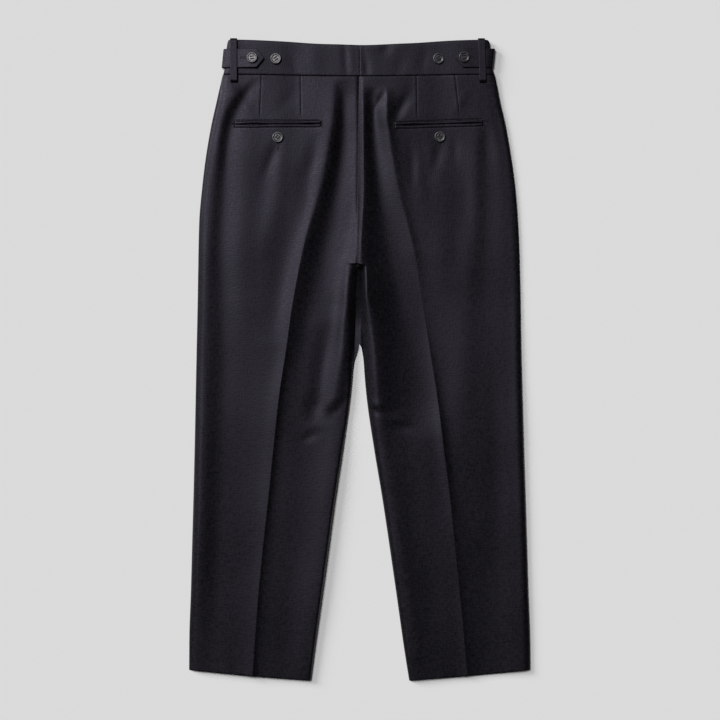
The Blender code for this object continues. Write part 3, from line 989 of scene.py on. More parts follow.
@dataclass(frozen=True)
class WorstedWool:
    """Worsted wool suiting, fine twill. It looks near black with a cool violet cast and a low soft sheen."""

    dark: str = "010101"
    light: str = "100f12"
    tint: str = "eae1ff"
    sheen_tint: str = "b9b4c8"
    yarn_mm: float = 1.9
    yarn_length_mm: float = 7.0
    mottle_mm: float = 4.0
    roughness: float = 0.43
    specular: float = 0.27
    sheen: float = 0.03
    bump_mm: float = 0.1

    def yarns(self, coat: Coat, across: tuple[float, float, float]) -> Socket:
        """One set of yarns, drawn coarser than they are, because the real ones are finer than a pixel.

        Args:
            coat: The material being made.
            across: Size of a yarn's patches in x, y and z, in millimetres.

        Returns:
            The noise.
        """
        scale = {"Scale": tuple(1000 / size for size in across)}
        stretched = add_node(coat.tree, "ShaderNodeMapping", scale, {"Vector": coat.place}).outputs["Vector"]
        settings = {"Scale": 1.0, "Detail": 1.0, "Roughness": 0.5}
        return add_node(coat.tree, "ShaderNodeTexNoise", settings, {"Vector": stretched}).outputs["Fac"]

    def build(self) -> Material:
        """Make the material, woven on Object coordinates.

        Returns:
            The material.
        """
        coat = Coat("worsted_wool_twill")
        tree = coat.tree
        warp = self.yarns(coat, (self.yarn_mm, self.yarn_length_mm, self.yarn_mm))
        weft = self.yarns(coat, (self.yarn_length_mm, self.yarn_mm, self.yarn_mm))
        yarn = add_node(tree, "ShaderNodeMath", {"operation": "ADD"}, {0: warp, 1: weft}).outputs[0]
        mottle = noise(tree, coat.place, self.mottle_mm, Detail=4.0, Roughness=0.6)
        doubled = {"operation": "MULTIPLY_ADD", 1: 2.2}
        mixed = add_node(tree, "ShaderNodeMath", doubled, {0: yarn, 2: mottle}).outputs[0]
        shade = mapped(tree, mixed, 2.0, 3.5, 0.0, 1.0)
        patterns = {
            "Base Color": two_tones(tree, self.dark, self.light, shade),
            "Roughness": mapped(tree, yarn, 0.7, 1.3, self.roughness - 0.05, self.roughness + 0.06),
            "Normal": raised(tree, yarn, 1.0, self.bump_mm),
        }
        values = {
            "Specular IOR Level": self.specular,
            "Specular Tint": hex_colour(self.tint),
            "Sheen Weight": self.sheen,
            "Sheen Roughness": 0.45,
            "Sheen Tint": hex_colour(self.sheen_tint),
        }
        return coat.finished(patterns, values)


@dataclass(frozen=True)
class DarkHorn:
    """Polished horn, turned. Glossy near black with paler streaks that run through the disc."""

    dark: str = "1c1b1e"
    light: str = "55535a"
    streak_mm: float = 3.0

    def build(self) -> Material:
        """Make the material, streaked on Object coordinates.

        Returns:
            The material.
        """
        coat = Coat("polished_horn")
        tree = coat.tree
        grain = {"Scale": (1.0, 3.0, 1.0), "Rotation": (0, 0, 0.5)}
        stretched = add_node(tree, "ShaderNodeMapping", grain, {"Vector": coat.place}).outputs["Vector"]
        streak = noise(tree, stretched, self.streak_mm, Detail=5.0, Distortion=1.4)
        fine = noise(tree, coat.place, 1 / 3.6, Detail=2.0)
        patterns = {
            "Base Color": two_tones(tree, self.dark, self.light, mapped(tree, streak, 0.42, 0.7, 0.0, 1.0)),
            "Roughness": mapped(tree, fine, 0.3, 0.7, 0.3, 0.36),
            "Normal": raised(tree, streak, 0.04, 0.03),
        }
        return coat.finished(patterns, {"IOR": 1.55})


@dataclass(frozen=True)
class SewingThread:
    """Spun polyester thread, twisted. Matt black with a faint rope-like twist."""

    dark: str = "0e0d10"
    light: str = "242229"
    twist_mm: float = 0.5

    def build(self) -> Material:
        """Make the material, twisted on Object coordinates.

        Returns:
            The material.
        """
        coat = Coat("spun_thread")
        tree = coat.tree
        scale = 1000 / (self.twist_mm * 2 * math.pi)
        settings = {"bands_direction": "DIAGONAL", "Scale": scale, "Distortion": 1.0}
        twist = add_node(tree, "ShaderNodeTexWave", settings, {"Vector": coat.place}).outputs["Fac"]
        patterns = {
            "Base Color": two_tones(tree, self.dark, self.light, twist),
            "Normal": raised(tree, twist, 0.5, 0.05),
        }
        return coat.finished(patterns, {"Roughness": 0.7, "Specular IOR Level": 0.3})


@dataclass(frozen=True)
class PaperBackdrop:
    """Seamless studio paper, matt. It gives an even pale grey without a highlight."""

    tone: str = "eaeaea"
    fibre_mm: float = 2.0

    def build(self) -> Material:
        """Make the material, with faint fibres on Object coordinates.

        Returns:
            The material.
        """
        coat = Coat("backdrop_paper")
        fibre = noise(coat.tree, coat.place, self.fibre_mm, Detail=2.0)
        values = {"Base Color": hex_colour(self.tone), "Roughness": 1.0, "Specular IOR Level": 0.0}
        return coat.finished({"Normal": raised(coat.tree, fibre, 0.05, 0.1)}, values)


@dataclass
class Finishes:
    """The materials, built once and shared."""

    wool: Material = field(default_factory=lambda: WorstedWool().build())
    horn: Material = field(default_factory=lambda: DarkHorn().build())
    thread: Material = field(default_factory=lambda: SewingThread().build())


def linked(name: str, mesh: bpy.types.Mesh) -> Object:
    """A new object at the origin, in the scene.

    Args:
        name: Its name.
        mesh: Its mesh.

    Returns:
        The linked object.
    """
    obj = bpy.data.objects.new(name, mesh)
    bpy.context.scene.collection.objects.link(obj)
    return obj


def mesh_object(name: str, points: Array, faces: list, material: Material) -> Object:
    """A smooth mesh object at the origin.

    Args:
        name: Piece name.
        points: Vertices, in metres.
        faces: Vertex numbers of each face.
        material: Its finish.

    Returns:
        The linked object.
    """
    mesh = bpy.data.meshes.new(name)
    mesh.from_pydata([tuple(point) for point in points.reshape(-1, 3)], [], faces)
    mesh.materials.append(material)
    mesh.validate()
    mesh.shade_smooth()
    return linked(name, mesh)


def grid_faces(rows: int, columns: int, closed: bool = False) -> list[tuple[int, ...]]:
    """Quads of a grid of points, wound so that they face up when y falls along the rows and x rises.

    Args:
        rows: Rows of points.
        columns: Points in a row.
        closed: Whether each row is a ring.

    Returns:
        The quads.
    """
    faces = []
    for row in range(rows - 1):
        for place in range(columns if closed else columns - 1):
            after = (place + 1) % columns
            upper, lower = row * columns, (row + 1) * columns
            faces.append((upper + place, lower + place, lower + after, upper + after))
    return faces


def settled(obj: Object) -> Object:
    """Turn an object's modifiers into plain mesh.

    Args:
        obj: The object.

    Returns:
        The same object.
    """
    graph = bpy.context.evaluated_depsgraph_get()
    mesh = bpy.data.meshes.new_from_object(obj.evaluated_get(graph))
    mesh.name = obj.name
    obj.modifiers.clear()
    obj.data = mesh
    return obj


def shell(name: str, points: Array, thickness: float, material: Material) -> Object:
    """A wall of cloth under a grid of points.

    Args:
        name: Piece name.
        points: Upper face, rows by columns by three, in metres.
        thickness: Wall in millimetres.
        material: Its finish.

    Returns:
        The piece, closed all round.
    """
    rows, columns, _ = points.shape
    obj = mesh_object(name, points, grid_faces(rows, columns), material)
    wall = obj.modifiers.new("Wall", "SOLIDIFY")
    wall.thickness = thickness * MM
    wall.offset = -1.0
    wall.use_rim = True
    return settled(obj)


def dressed(piece: Object, node: str) -> Object:
    """Let a piece take the place of a solid.

    Args:
        piece: The finished piece.
        node: Name of the solid's node.

    Returns:
        The piece.
    """
    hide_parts(node)
    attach(piece, BODY)
    LOG.info("%s: %d faces in place of %s", piece.name, len(piece.data.polygons), node)
    return piece


@dataclass
class Legs:
    """The four cloth panels that make the seat and the legs."""

    finishes: Finishes
    inner_roll: float = 9.0
    hem_roll: float = 2.5
    hem_drop: float = 1.4
    near_dart: tuple[float, ...] = (0.5, 1.1, 2.2, 4.0)
    near_crease: tuple[float, ...] = (0.35, 0.9, 1.8, 3.0, 4.5, 6.5, 9.0)
    between: tuple[int, ...] = (15, 16, 15, 16)
    back_sag: float = 2.2
    front_sag: float = 8.0
    front_inset: float = 0.5
    front_shorter: float = 0.8
    fork_rise: float = 4.8
    shaded_tilt: float = 0.18
    shaded_more: float = 0.12
    lit_tilt: float = 0.13
    back_rows: tuple[tuple[float, float, float], ...] = (
        (52.5, 57.5, 0.8),
        (57.5, 118.0, 2.6),
        (118.0, 137.0, 0.75),
        (137.0, 334.0, 3.4),
        (334.0, 343.0, 0.5),
        (343.0, 957.0, 3.4),
        (957.0, 963.0, 1.0),
    )
    front_rows: tuple[tuple[float, float, float], ...] = (
        (52.5, 325.0, 7.0),
        (325.0, 508.0, 1.5),
        (508.0, 963.0, 7.0),
    )

    def columns(self, outer_roll: float) -> tuple[Array, Array]:
        """Where a back panel's columns lie between its five key lines.

        Args:
            outer_roll: Width of the outer edge's roll.

        Returns:
            The number of the key line before each column, as a whole part plus a share,
            and an offset in millimetres from it.
        """
        roll = curled(outer_roll, 9)
        shares = [0.0] * 8
        offsets = [float(value) for value in roll[:-1]]
        dart, crease = both_ways(self.near_dart), both_ways(self.near_crease)
        ends = (dart[-1], dart[-1], crease[-1], self.inner_roll)
        starts = (float(roll[-1]), *ends[:3])
        for line, (count, cluster) in enumerate(zip(self.between, (dart, dart, crease, []))):
            for step in range(count):
                share = step / count
                shares.append(line + share)
                offsets.append(starts[line] * (1 - share) - ends[line] * share)
            for offset in cluster[:-1]:
                shares.append(line + 1.0)
                offsets.append(offset)
        for value in curled(self.inner_roll, 11)[::-1]:
            shares.append(4.0)
            offsets.append(-float(value))
        return np.array(shares), np.array(offsets)

    def key_lines(self, side: Side, downs: Array) -> Array:
        """X of the outer edge, the two dart lines, the crease and the inner edge.

        Args:
            side: Which panel.
            downs: Distances down of its rows.

        Returns:
            Five values for each row.
        """
        outer, crease = edge(side, "outer", downs), edge(side, "crease", downs)
        inner = edge(side, "inner", downs) - side.turn * 0.5 * SIZES.seam_gap
        waist = np.array(SIZES.waist_down)
        waist_outer, waist_crease = edge(side, "outer", waist), edge(side, "crease", waist)
        blend = ramp(downs, 120, 220)
        lines = [outer]
        for dart in sorted((dart for dart in DARTS if dart.side is side), key=lambda dart: -abs(dart.top_x)):
            share = np.clip((downs - SIZES.waist_down) / (dart.end_down - SIZES.waist_down), 0, 1.4)
            straight = dart.top_x + (dart.end_x - dart.top_x) * share
            relaxed = outer + (crease - outer) * (dart.top_x - waist_outer) / (waist_crease - waist_outer)
            lines.append(straight * (1 - blend) + relaxed * blend)
        return np.stack([*lines, crease, inner], axis=1)

    def laid(self, x: Array, nominal: Array, across: Array, sag: float, shorter: float) -> Array:
        """Distances down once the rows follow the sagging waist seam and the slanted hem.

        Args:
            x: Where across the cloth.
            nominal: Distances down before that.
            across: Share of the way from the outer edge to the inner one.
            sag: Depth of the waist seam's sag.
            shorter: How much the hem is drawn up.

        Returns:
            The distances down.
        """
        near_top = np.clip(1 - (nominal - SIZES.waist_down) / 120, 0, 1)
        near_hem = ramp(nominal, 500, SIZES.length - 500)
        rise = SIZES.hem_slant * (1 - across) * (1 - 0.25 * across)
        return nominal + (dip(x, sag) + SIZES.seam_gap) * near_top - (rise + shorter) * near_hem

    def back(self, side: Side) -> Object:
        """A back panel with its folds.

        Args:
            side: Which half.

        Returns:
            The piece.
        """
        form = BackPanelForm(side)
        downs = stretches(self.back_rows)
        shares, offsets = self.columns(form.outer_roll)
        lines = self.key_lines(side, downs)
        whole = np.minimum(shares.astype(int), 3)
        part = shares - whole
        x = lines[:, whole] * (1 - part) + lines[:, whole + 1] * part + side.turn * offsets
        x = np.sort(x * side.turn, axis=1) * side.turn
        across = np.abs(x - x[:, :1]) / np.abs(x[:, -1:] - x[:, :1])
        nominal = downs[:, None] + 0 * x
        down = self.laid(x, nominal, across, self.back_sag, 0.0)
        z = form.height(x, nominal) - self.hem_drop * (1 - arch(SIZES.length - nominal, self.hem_roll))
        return self.panel("back", side, to_metres(x, down, z))

    def front(self, side: Side) -> Object:
        """A front panel, pressed flat under the back.

        Args:
            side: Which half.

        Returns:
            The piece.
        """
        downs = stretches(self.front_rows)
        outer = edge(side, "outer", downs) + side.turn * self.front_inset
        cut = edge(side, "inner", downs)
        # Painted shade: below the crotch the panels stay closed across the gap between the legs down to 455,
        # a dark sheet in place of the floor's deep shadow there.
        closed = read(FRONT_INNERS, downs, side.value)[0]
        inner = np.where(downs < FRONT_INNERS[-1].down, closed, cut - side.turn * self.front_inset)
        inner = np.where(downs < SIZES.crotch_down, cut - side.turn * 0.5 * SIZES.seam_gap, inner)
        near_inner = [*np.linspace(0.86, 0.994, 20), 0.998, 0.9995, 1.0]
        share = np.concatenate([[0.0, 0.004, 0.01], np.linspace(0.03, 0.85, 26), near_inner])
        x = outer[:, None] * (1 - share) + inner[:, None] * share
        nominal = downs[:, None] + 0 * x
        down = self.laid(x, nominal, share[None, :] + 0 * x, self.front_sag, self.front_shorter)
        z = SIZES.front_top + side_lift(x, nominal) + self.fork(x, nominal)
        return self.panel("front", side, to_metres(x, down, z))

    def fork(self, x: Array, down: Array) -> Array:
        """How far the front rises at the crotch, where the four panels meet, and tilts below it: the tilt
        turns the front away from the light in the notch and below it, where the closed panels are a sheet
        painted in for the floor's deep shadow between the legs, then towards the light where the gap opens.

        Args:
            x: Where across the cloth.
            down: Where down the cloth.

        Returns:
            The heights that it adds.
        """
        near = np.exp(-(((x - 0.5) / 11.0) ** 4))
        top = self.fork_rise * ramp(down, 300, 34) * (1 - ramp(down, 338, 9))
        tilt = self.shaded_tilt + self.shaded_more * (1 - ramp(down, 350, 30))
        shaded = tilt * np.clip(4.5 - x, 0, 10) * ramp(x, -30, 15)
        below = ramp(down, 336, 8) * (1 - ramp(down, 385, 45))
        lit = self.lit_tilt * np.clip(x + 7.0, 0, 9.5) * (1 - ramp(x, 2.5, 3))
        opening = ramp(down, 408, 45) * (1 - ramp(down, 480, 30))
        return top * near + shaded * below + lit * opening

    def panel(self, layer: str, side: Side, points: Array) -> Object:
        """Turn a panel's upper face into its cloth.

        Args:
            layer: Back or front.
            side: Which half.
            points: Its upper face, in metres.

        Returns:
            The piece.
        """
        points = points if side is Side.LEFT else points[:, ::-1]
        piece = shell(f"{layer}_panel_{side.value}", points, SIZES.cloth, self.finishes.wool)
        return dressed(piece, f"{layer}_{side.value}")

    def build(self) -> dict[tuple[str, Side], Object]:
        """Make the four panels.

        Returns:
            The pieces by layer and side.
        """
        made = {}
        for side in Side:
            made["back", side] = self.back(side)
            made["front", side] = self.front(side)
        return made


@dataclass
class Waistband:
    """The waistband in its four quarters."""

    finishes: Finishes
    form: BandForm
    reach: float = 203.0
    front_cloth: float = 2.2
    front_top: float = 2.45
    front_lower: float = 0.6
    front_inset: float = 0.8
    front_top_dip: float = 22.0
    front_seam_dip: float = 8.0
    back_step: float = 2.4
    front_step: float = 6.0

    def grid(self, side: Side, step: float, wider: float) -> tuple[Array, Array]:
        """Columns and rows of a quarter.

        Args:
            side: Which half.
            step: Greatest distance between columns.
            wider: How far the side edge lies towards the centre from the back's.

        Returns:
            X of each point, and distances across the band's width as a column.
        """
        near = np.array([0.0, 0.4, 0.9, 1.6, 2.6]) / self.reach
        far = 1 - curled(self.form.roll, 8) / self.reach
        middle = spaced(4.5 / self.reach, float(far.min()), step / self.reach)[:-1]
        shares = np.concatenate([near, middle, far[::-1]])
        widths = np.concatenate([[0.0, 0.2, 0.6, 1.2, 2.2], spaced(4.0, 49.5, 2.2), [50.8, 51.6, 52.1, 52.5]])
        side_x = self.form.side_x(side, widths) + side.turn * wider
        start = -side.turn * 0.5 * SIZES.seam_gap
        return start + (side_x[:, None] - start) * shares[None, :], widths[:, None]

    def back(self, side: Side) -> Object:
        """A back quarter, with soft dents where the cloth has relaxed.

        Args:
            side: Which half.

        Returns:
            The piece.
        """
        x, widths = self.grid(side, self.back_step, 0.0)
        top, seam = self.form.top(x), self.form.seam(x)
        down = top + (seam - top) * widths / SIZES.waist_down
        return self.quarter("back", side, to_metres(x, down, self.form.height(x, down)), self.form.cloth)

    def front(self, side: Side) -> Object:
        """A front quarter, flat on the surface and hidden by the back.

        Args:
            side: Which half.

        Returns:
            The piece.
        """
        x, widths = self.grid(side, self.front_step, self.front_inset)
        top = self.front_lower + dip(x, self.front_top_dip)
        seam = SIZES.waist_down + dip(x, self.front_seam_dip)
        down = top + (seam - top) * widths / SIZES.waist_down
        z = self.front_top + side_lift(x, 0 * x) - 0.9 * (1 - arch(widths, 1.8))
        return self.quarter("front", side, to_metres(x, down, z), self.front_cloth)

    def quarter(self, layer: str, side: Side, points: Array, cloth: float) -> Object:
        """Turn a quarter's upper face into its doubled cloth.

        Args:
            layer: Back or front.
            side: Which half.
            points: Its upper face, in metres.
            cloth: Its thickness in millimetres.

        Returns:
            The piece.
        """
        points = points[:, ::-1] if side is Side.LEFT else points
        piece = shell(f"waistband_{layer}_{side.value}_cloth", points, cloth, self.finishes.wool)
        return dressed(piece, f"waistband_{layer}_{side.value}")

    def build(self) -> dict[tuple[str, Side], Object]:
        """Make the four quarters.

        Returns:
            The pieces by layer and side.
        """
        made = {}
        for side in Side:
            made["back", side] = self.back(side)
            made["front", side] = self.front(side)
        return made


class Station(NamedTuple):
    """A place along a strip of cloth: its middle, its two directions and its half width, in millimetres."""

    middle: Vector
    across: Vector
    out: Vector
    half_width: float


def strip(name: str, stations: list[Station], thickness: float, material: Material) -> Object:
    """A folded strip of cloth with rounded edges.

    Args:
        name: Piece name.
        stations: Its places, first to last.
        thickness: Millimetres from its under face, which the stations follow, to its upper face.
        material: Its finish.

    Returns:
        The closed piece.
    """
    soft = 0.4 * thickness
    corner = [(soft + 0.5, thickness)]
    for step in range(5):
        angle = 0.5 * math.pi * (1 - step / 4)
        corner.append((soft * (1 - math.cos(angle)), thickness - soft * (1 - math.sin(angle))))
    half = corner + [(inset, thickness - height) for inset, height in corner[::-1]]
    ring = [(1.0, *point) for point in half] + [(-1.0, *point) for point in half[::-1]]
    points = []
    for station in stations:
        for sign, inset, height in ring:
            sideways = sign * max(0.05, station.half_width - inset)
            point = station.middle + station.across * sideways + station.out * height
            points.append(tuple(point * MM))
    count, rows = len(ring), len(stations)
    faces = grid_faces(rows, count, closed=True)
    faces.append(tuple(range(count)))
    faces.append(tuple(range((rows - 1) * count, rows * count))[::-1])
    obj = mesh_object(name, np.array(points), faces, material)
    shape = bmesh.new()
    shape.from_mesh(obj.data)
    bmesh.ops.remove_doubles(shape, verts=shape.verts, dist=1e-7)
    bmesh.ops.recalc_face_normals(shape, faces=shape.faces)
    shape.to_mesh(obj.data)
    shape.free()
    obj.data.shade_smooth()
    return obj


@dataclass(frozen=True)
class StrapPlan:
    """Where a side adjuster, its buttons and its belt loop lie."""

    side: Side
    fold_x: float
    tip_x: float
    down: float
    tip_lift: float
    button_x: float
    button_down: float
    button_lean: float
    spare_x: float
    spare_down: float
    spare_lean: float
    loop_top_x: float
    loop_end_x: float


STRAP_PLANS = table(
    StrapPlan,
    (Side.LEFT, -206.0, -144.0, 28.6, 2.4, -161.1, 28.5, 5.0, -125.7, 29.4, 4.5, -189.0, -188.6),
    (Side.RIGHT, 202.0, 144.0, 28.2, 0.6, 156.3, 27.3, -6.0, 118.1, 28.9, -2.0, 182.6, 184.6),
)


@dataclass
class Adjuster:
    """A side adjuster strap with the belt loop that holds it."""

    plan: StrapPlan
    finishes: Finishes
    band: BandForm
    half_width: float = 14.2
    cloth: float = 2.0
    lift: float = 0.7
    bend: float = 3.0
    point: float = 10.8
    point_half: float = 1.6
    tip_reach: float = 45.0
    fold_slant: float = 0.1
    slant_reach: float = 22.0
    loop_half_width: float = 5.2
    loop_cloth: float = 1.5
    loop_length: float = 64.0

    def strap_height(self, x: float) -> float:
        """Height of the strap's under face where it lies on the band.

        Args:
            x: Where across the band.

        Returns:
            The height.
        """
        offsets = np.linspace(-0.8, 0.8, 5) * self.half_width
        rest = float(self.band.height(np.full(5, x), self.plan.down + offsets).max())
        near_tip = float(smooth_step(1.15 - abs(x - self.plan.tip_x) / self.tip_reach))
        return rest + self.lift + self.plan.tip_lift * near_tip

    def strap_top(self, x: Array, down: Array) -> Array:
        """Height of the strap's upper face, which is the same across its width."""
        return np.array([self.strap_height(float(value)) for value in x]) + self.cloth

    def strap_path(self, inner_x: float) -> list[tuple[float, float, float]]:
        """The strap's way from under the front band, round the side edge and over the back to its point.

        Args:
            inner_x: X of the under face where the strap bends round the side.

        Returns:
            X, height and half width of each place.
        """
        turn = self.plan.side.turn
        upper = self.strap_height(inner_x + turn * self.bend)
        under = self.cloth + 0.05
        path = [(inner_x + turn * distance, under, self.half_width) for distance in (26.0, 20.0, 12.0, 5.0)]
        for step in range(13):
            angle = math.pi * step / 12
            x = inner_x + turn * self.bend * (1 - math.sin(angle))
            path.append((x, 0.5 * (upper + under) - 0.5 * (upper - under) * math.cos(angle), self.half_width))
        shoulder = self.plan.tip_x - turn * self.point
        for x in np.linspace(inner_x + turn * 5.0, shoulder - turn * 0.8, 14):
            path.append((float(x), self.strap_height(float(x)), self.half_width))
        for share in (0.0, 0.08, 0.25, 0.5, 0.75, 0.9, 0.97, 1.0):
            x = shoulder + turn * self.point * share
            half = self.point_half + (self.half_width - self.point_half) * (1 - share)
            path.append((x, self.strap_height(x), half if share < 1 else 0.75 * self.point_half))
        return path

    def strap(self) -> Object:
        """The strap from end to end.

        Returns:
            The piece.
        """
        turn = self.plan.side.turn
        inner_x = self.plan.fold_x + turn * self.cloth
        path = self.strap_path(inner_x)
        across = Vector((0, 1, 0)) * turn
        stations = []
        for index, (x, z, half) in enumerate(path):
            before, after = path[max(0, index - 1)], path[min(len(path) - 1, index + 1)]
            out = Vector((after[0] - before[0], 0, after[1] - before[1])).cross(across).normalized()
            near_fold = float(smooth_step(1 - (x - inner_x) * turn / self.slant_reach))
            slanted = Vector((self.fold_slant * near_fold, 1, 0)) * turn
            stations.append(Station(place_of(x, self.plan.down, z), slanted, out, half))
        piece = strip(f"adjuster_strap_{self.plan.side.value}", stations, self.cloth, self.finishes.wool)
        return dressed(piece, f"adjuster_{self.plan.side.value}")

    def carrier_height(self, x: float, down: float) -> float:
        """Height of what lies under the belt loop.

        Args:
            x: Where across the cloth.
            down: Where down the cloth.

        Returns:
            The height of the strap, the band or the panel.
        """
        if abs(down - self.plan.down) < self.half_width + 1.0:
            return self.strap_height(x) + self.cloth
        if down > float(self.band.seam(np.array(x))):
            return float(BackPanelForm(self.plan.side).height(np.array(x), np.array(down)))
        return float(self.band.height(np.array(x), np.array(max(down, 1.5))))

    def loop_x(self, down: float) -> float:
        """X of the loop's middle at a distance down."""
        share = min(1.0, max(0.0, down / self.loop_length))
        return self.plan.loop_top_x + (self.plan.loop_end_x - self.plan.loop_top_x) * share

    def loop_path(self) -> list[tuple[float, float]]:
        """The loop's way, drawn taut between its two tacks.

        Returns:
            Distance down and height of each place.
        """
        downs = np.concatenate([spaced(0.6, 58.0, 2.0), [59.5, 61.0, 62.2, 63.0, 63.6]])
        heights = []
        for down in downs:
            x = self.loop_x(float(down))
            heights.append(max(self.carrier_height(x + aside, float(down)) for aside in (-4.0, 0.0, 4.0)))
        crest, end = max(heights), heights[-1]
        taut = np.interp(downs, [0.6, 3.0, 62.4, 63.6], [crest - 0.6, crest, crest, end + 0.6])
        path = [(0.3, 3.0), (0.0, 4.6), (0.1, float(taut[0]) - 0.6)]
        for down, height in zip(downs, np.maximum(taut, heights)):
            tucked = 1.0 if down < 62.0 else 1.0 - 0.5 * (down - 62.0)
            path.append((float(down), float(height) + 0.3 * tucked))
        return path

    def loop(self) -> Object:
        """The belt loop: over the band's top edge, across the strap, and tacked below the seam.

        Returns:
            The piece.
        """
        path = self.loop_path()
        across = Vector((1, 0, 0))
        stations = []
        for index, (down, z) in enumerate(path):
            before, after = path[max(0, index - 1)], path[min(len(path) - 1, index + 1)]
            out = Vector((0, before[0] - after[0], after[1] - before[1])).cross(across).normalized()
            stations.append(Station(place_of(self.loop_x(down), down, z), across, out, self.loop_half_width))
        piece = strip(f"belt_loop_{self.plan.side.value}", stations, self.loop_cloth, self.finishes.wool)
        return dressed(piece, f"loop_{self.plan.side.value}")


@dataclass
class JettedPocket:
    """The two lips of a back pocket, which part where the slit gapes."""

    pocket: Pocket
    finishes: Finishes
    thickness: float = 1.25
    step: float = 1.6
    end_round: float = 1.6
    clear: float = 0.03
    rest_away: float = 2.8
    shares: tuple[float, ...] = (0.0, 0.04, 0.12, 0.25, 0.5, 0.75, 0.92, 1.0)
    upper_crown: tuple[float, ...] = (0.1, 0.35, 0.55, 0.75, 0.85, 0.65, 0.15, -0.5)
    lower_crown: tuple[float, ...] = (0.1, 0.35, 0.55, 0.75, 0.85, 0.75, 0.5, 0.2)
    parted: tuple[float, ...] = (-1.2, -0.7, -0.3, 0.0, 0.0, 0.0, 0.0, 0.0)

    def lip(self, upper: bool) -> Object:
        """One lip, folded and lying on the panel's own surface, with a soft edge at the slit.

        Args:
            upper: Whether it is the upper one.

        Returns:
            The piece.
        """
        pocket, word = self.pocket, "upper" if upper else "lower"
        sign = -1.0 if upper else 1.0
        xs = spaced(pocket.left_x, pocket.right_x, self.step)
        shares = np.array(self.shares)
        x = xs[:, None] + 0 * shares[None, :]
        middle, gape = pocket.middle(xs)[:, None], pocket.gape(xs)[:, None]
        down = middle + sign * (gape + self.clear + pocket.lip * shares[None, :])
        rest = BackPanelForm(pocket.side).body(x, middle + sign * (self.rest_away + 0 * x))
        ends = np.minimum(xs - xs[0], xs[-1] - xs)[:, None]
        crown = np.array(self.upper_crown if upper else self.lower_crown)
        crown = crown * np.sqrt(np.clip(ends / self.end_round, 0.15, 1))
        points = to_metres(x, down, rest + crown + np.array(self.parted) * (gape / gape.max()) ** 2)
        points = np.swapaxes(points[:, ::-1] if upper else points, 0, 1)
        piece = shell(f"pocket_{pocket.side.value}_{word}_lip", points, self.thickness, self.finishes.wool)
        return dressed(piece, f"pocket_{pocket.side.value}_{word}_jet")


class ButtonSeat(NamedTuple):
    """Where a button sits: its place, its underside's height, its turn and its lean to the upper left."""

    node: str
    x: float
    down: float
    z: float
    turn: float
    lean: float


@dataclass
class HornButton:
    """A turned four-hole button."""

    finishes: Finishes
    radius: float = 8.0
    thickness: float = 3.0
    rim: float = 1.5
    rim_round: float = 0.9
    dish: float = 0.9
    hole_radius: float = 1.15
    hole_spread: float = 1.9
    turned_sides: int = 72

    def profile(self) -> list[tuple[float, float]]:
        """The button's outline, from the middle of the face over the rim to the middle of the back.

        Returns:
            Radius and height of each point.
        """
        floor = self.thickness - self.dish
        inner = self.radius - self.rim - 0.5
        points = [(0.0, floor), (self.radius * 0.35, floor - 0.02), (inner - 1.1, floor + 0.02)]
        for share in np.linspace(0, 1, 5):
            points.append((inner - 0.9 + 1.1 * share, floor + self.dish * float(smooth_step(share))))
        for angle in np.linspace(0, 0.5 * math.pi, 7):
            out, up = self.rim_round * math.sin(angle), self.rim_round * math.cos(angle)
            points.append((self.radius - self.rim_round + out, self.thickness - self.rim_round + up))
        points += [(self.radius - 0.1, 1.3), (self.radius - 0.7, 0.5), (self.radius - 2.0, 0.0), (0.0, 0.0)]
        return points

    def cutter(self, angle: float) -> Object:
        """A round bar that cuts one hole.

        Args:
            angle: Direction of the hole from the middle, in radians.

        Returns:
            The bar.
        """
        shape = bmesh.new()
        sizes = {"radius1": self.hole_radius * MM, "radius2": self.hole_radius * MM, "depth": 12 * MM}
        bmesh.ops.create_cone(shape, cap_ends=True, segments=20, **sizes)
        aside = Vector((math.cos(angle), math.sin(angle), 0)) * self.hole_spread * math.sqrt(2) * MM
        bmesh.ops.translate(shape, verts=shape.verts, vec=aside)
        mesh = bpy.data.meshes.new("hole_cutter")
        shape.to_mesh(mesh)
        shape.free()
        return linked("hole_cutter", mesh)

    def blank(self) -> bpy.types.Mesh:
        """The turned disc with its four holes cut through.

        Returns:
            Its mesh.
        """
        mesh = bpy.data.meshes.new("button_blank")
        points = [(radius * MM, 0, height * MM) for radius, height in self.profile()]
        mesh.from_pydata(points, [(index, index + 1) for index in range(len(points) - 1)], [])
        obj = linked("button_blank", mesh)
        turned = obj.modifiers.new("Turn", "SCREW")
        turned.steps = self.turned_sides
        turned.render_steps = self.turned_sides
        turned.use_merge_vertices = True
        turned.merge_threshold = 1e-6
        cutters = [self.cutter(0.5 * math.pi * (index + 0.5)) for index in range(4)]
        for cutter in cutters:
            cut = obj.modifiers.new("Hole", "BOOLEAN")
            cut.object = cutter
            cut.solver = "EXACT"
        graph = bpy.context.evaluated_depsgraph_get()
        blank = bpy.data.meshes.new_from_object(obj.evaluated_get(graph))
        for helper in (obj, *cutters):
            bpy.data.objects.remove(helper)
        blank.materials.clear()
        blank.materials.append(self.finishes.horn)
        return blank

    def place(self, blank: bpy.types.Mesh, seat: ButtonSeat) -> Object:
        """Set a copy of the blank on the cloth.

        Args:
            blank: The button's mesh.
            seat: Where and how it sits.

        Returns:
            The piece.
        """
        mesh = blank.copy()
        points = np.empty(len(mesh.vertices) * 3, np.float32)
        mesh.vertices.foreach_get("co", points)
        spin = Matrix.Rotation(math.radians(seat.turn), 3, "Z")
        lean = Matrix.Rotation(math.radians(seat.lean), 3, (-1.0, -1.0, 0.0))
        points = points.reshape(-1, 3) @ np.array(lean @ spin).T
        points = points + np.array(place_of(seat.x, seat.down, seat.z)) * MM
        mesh.vertices.foreach_set("co", points.astype(np.float32).ravel())
        mesh.shade_smooth()
        mesh.set_sharp_from_angle(angle=math.radians(40))
        return dressed(linked(f"horn_{seat.node}", mesh), seat.node)


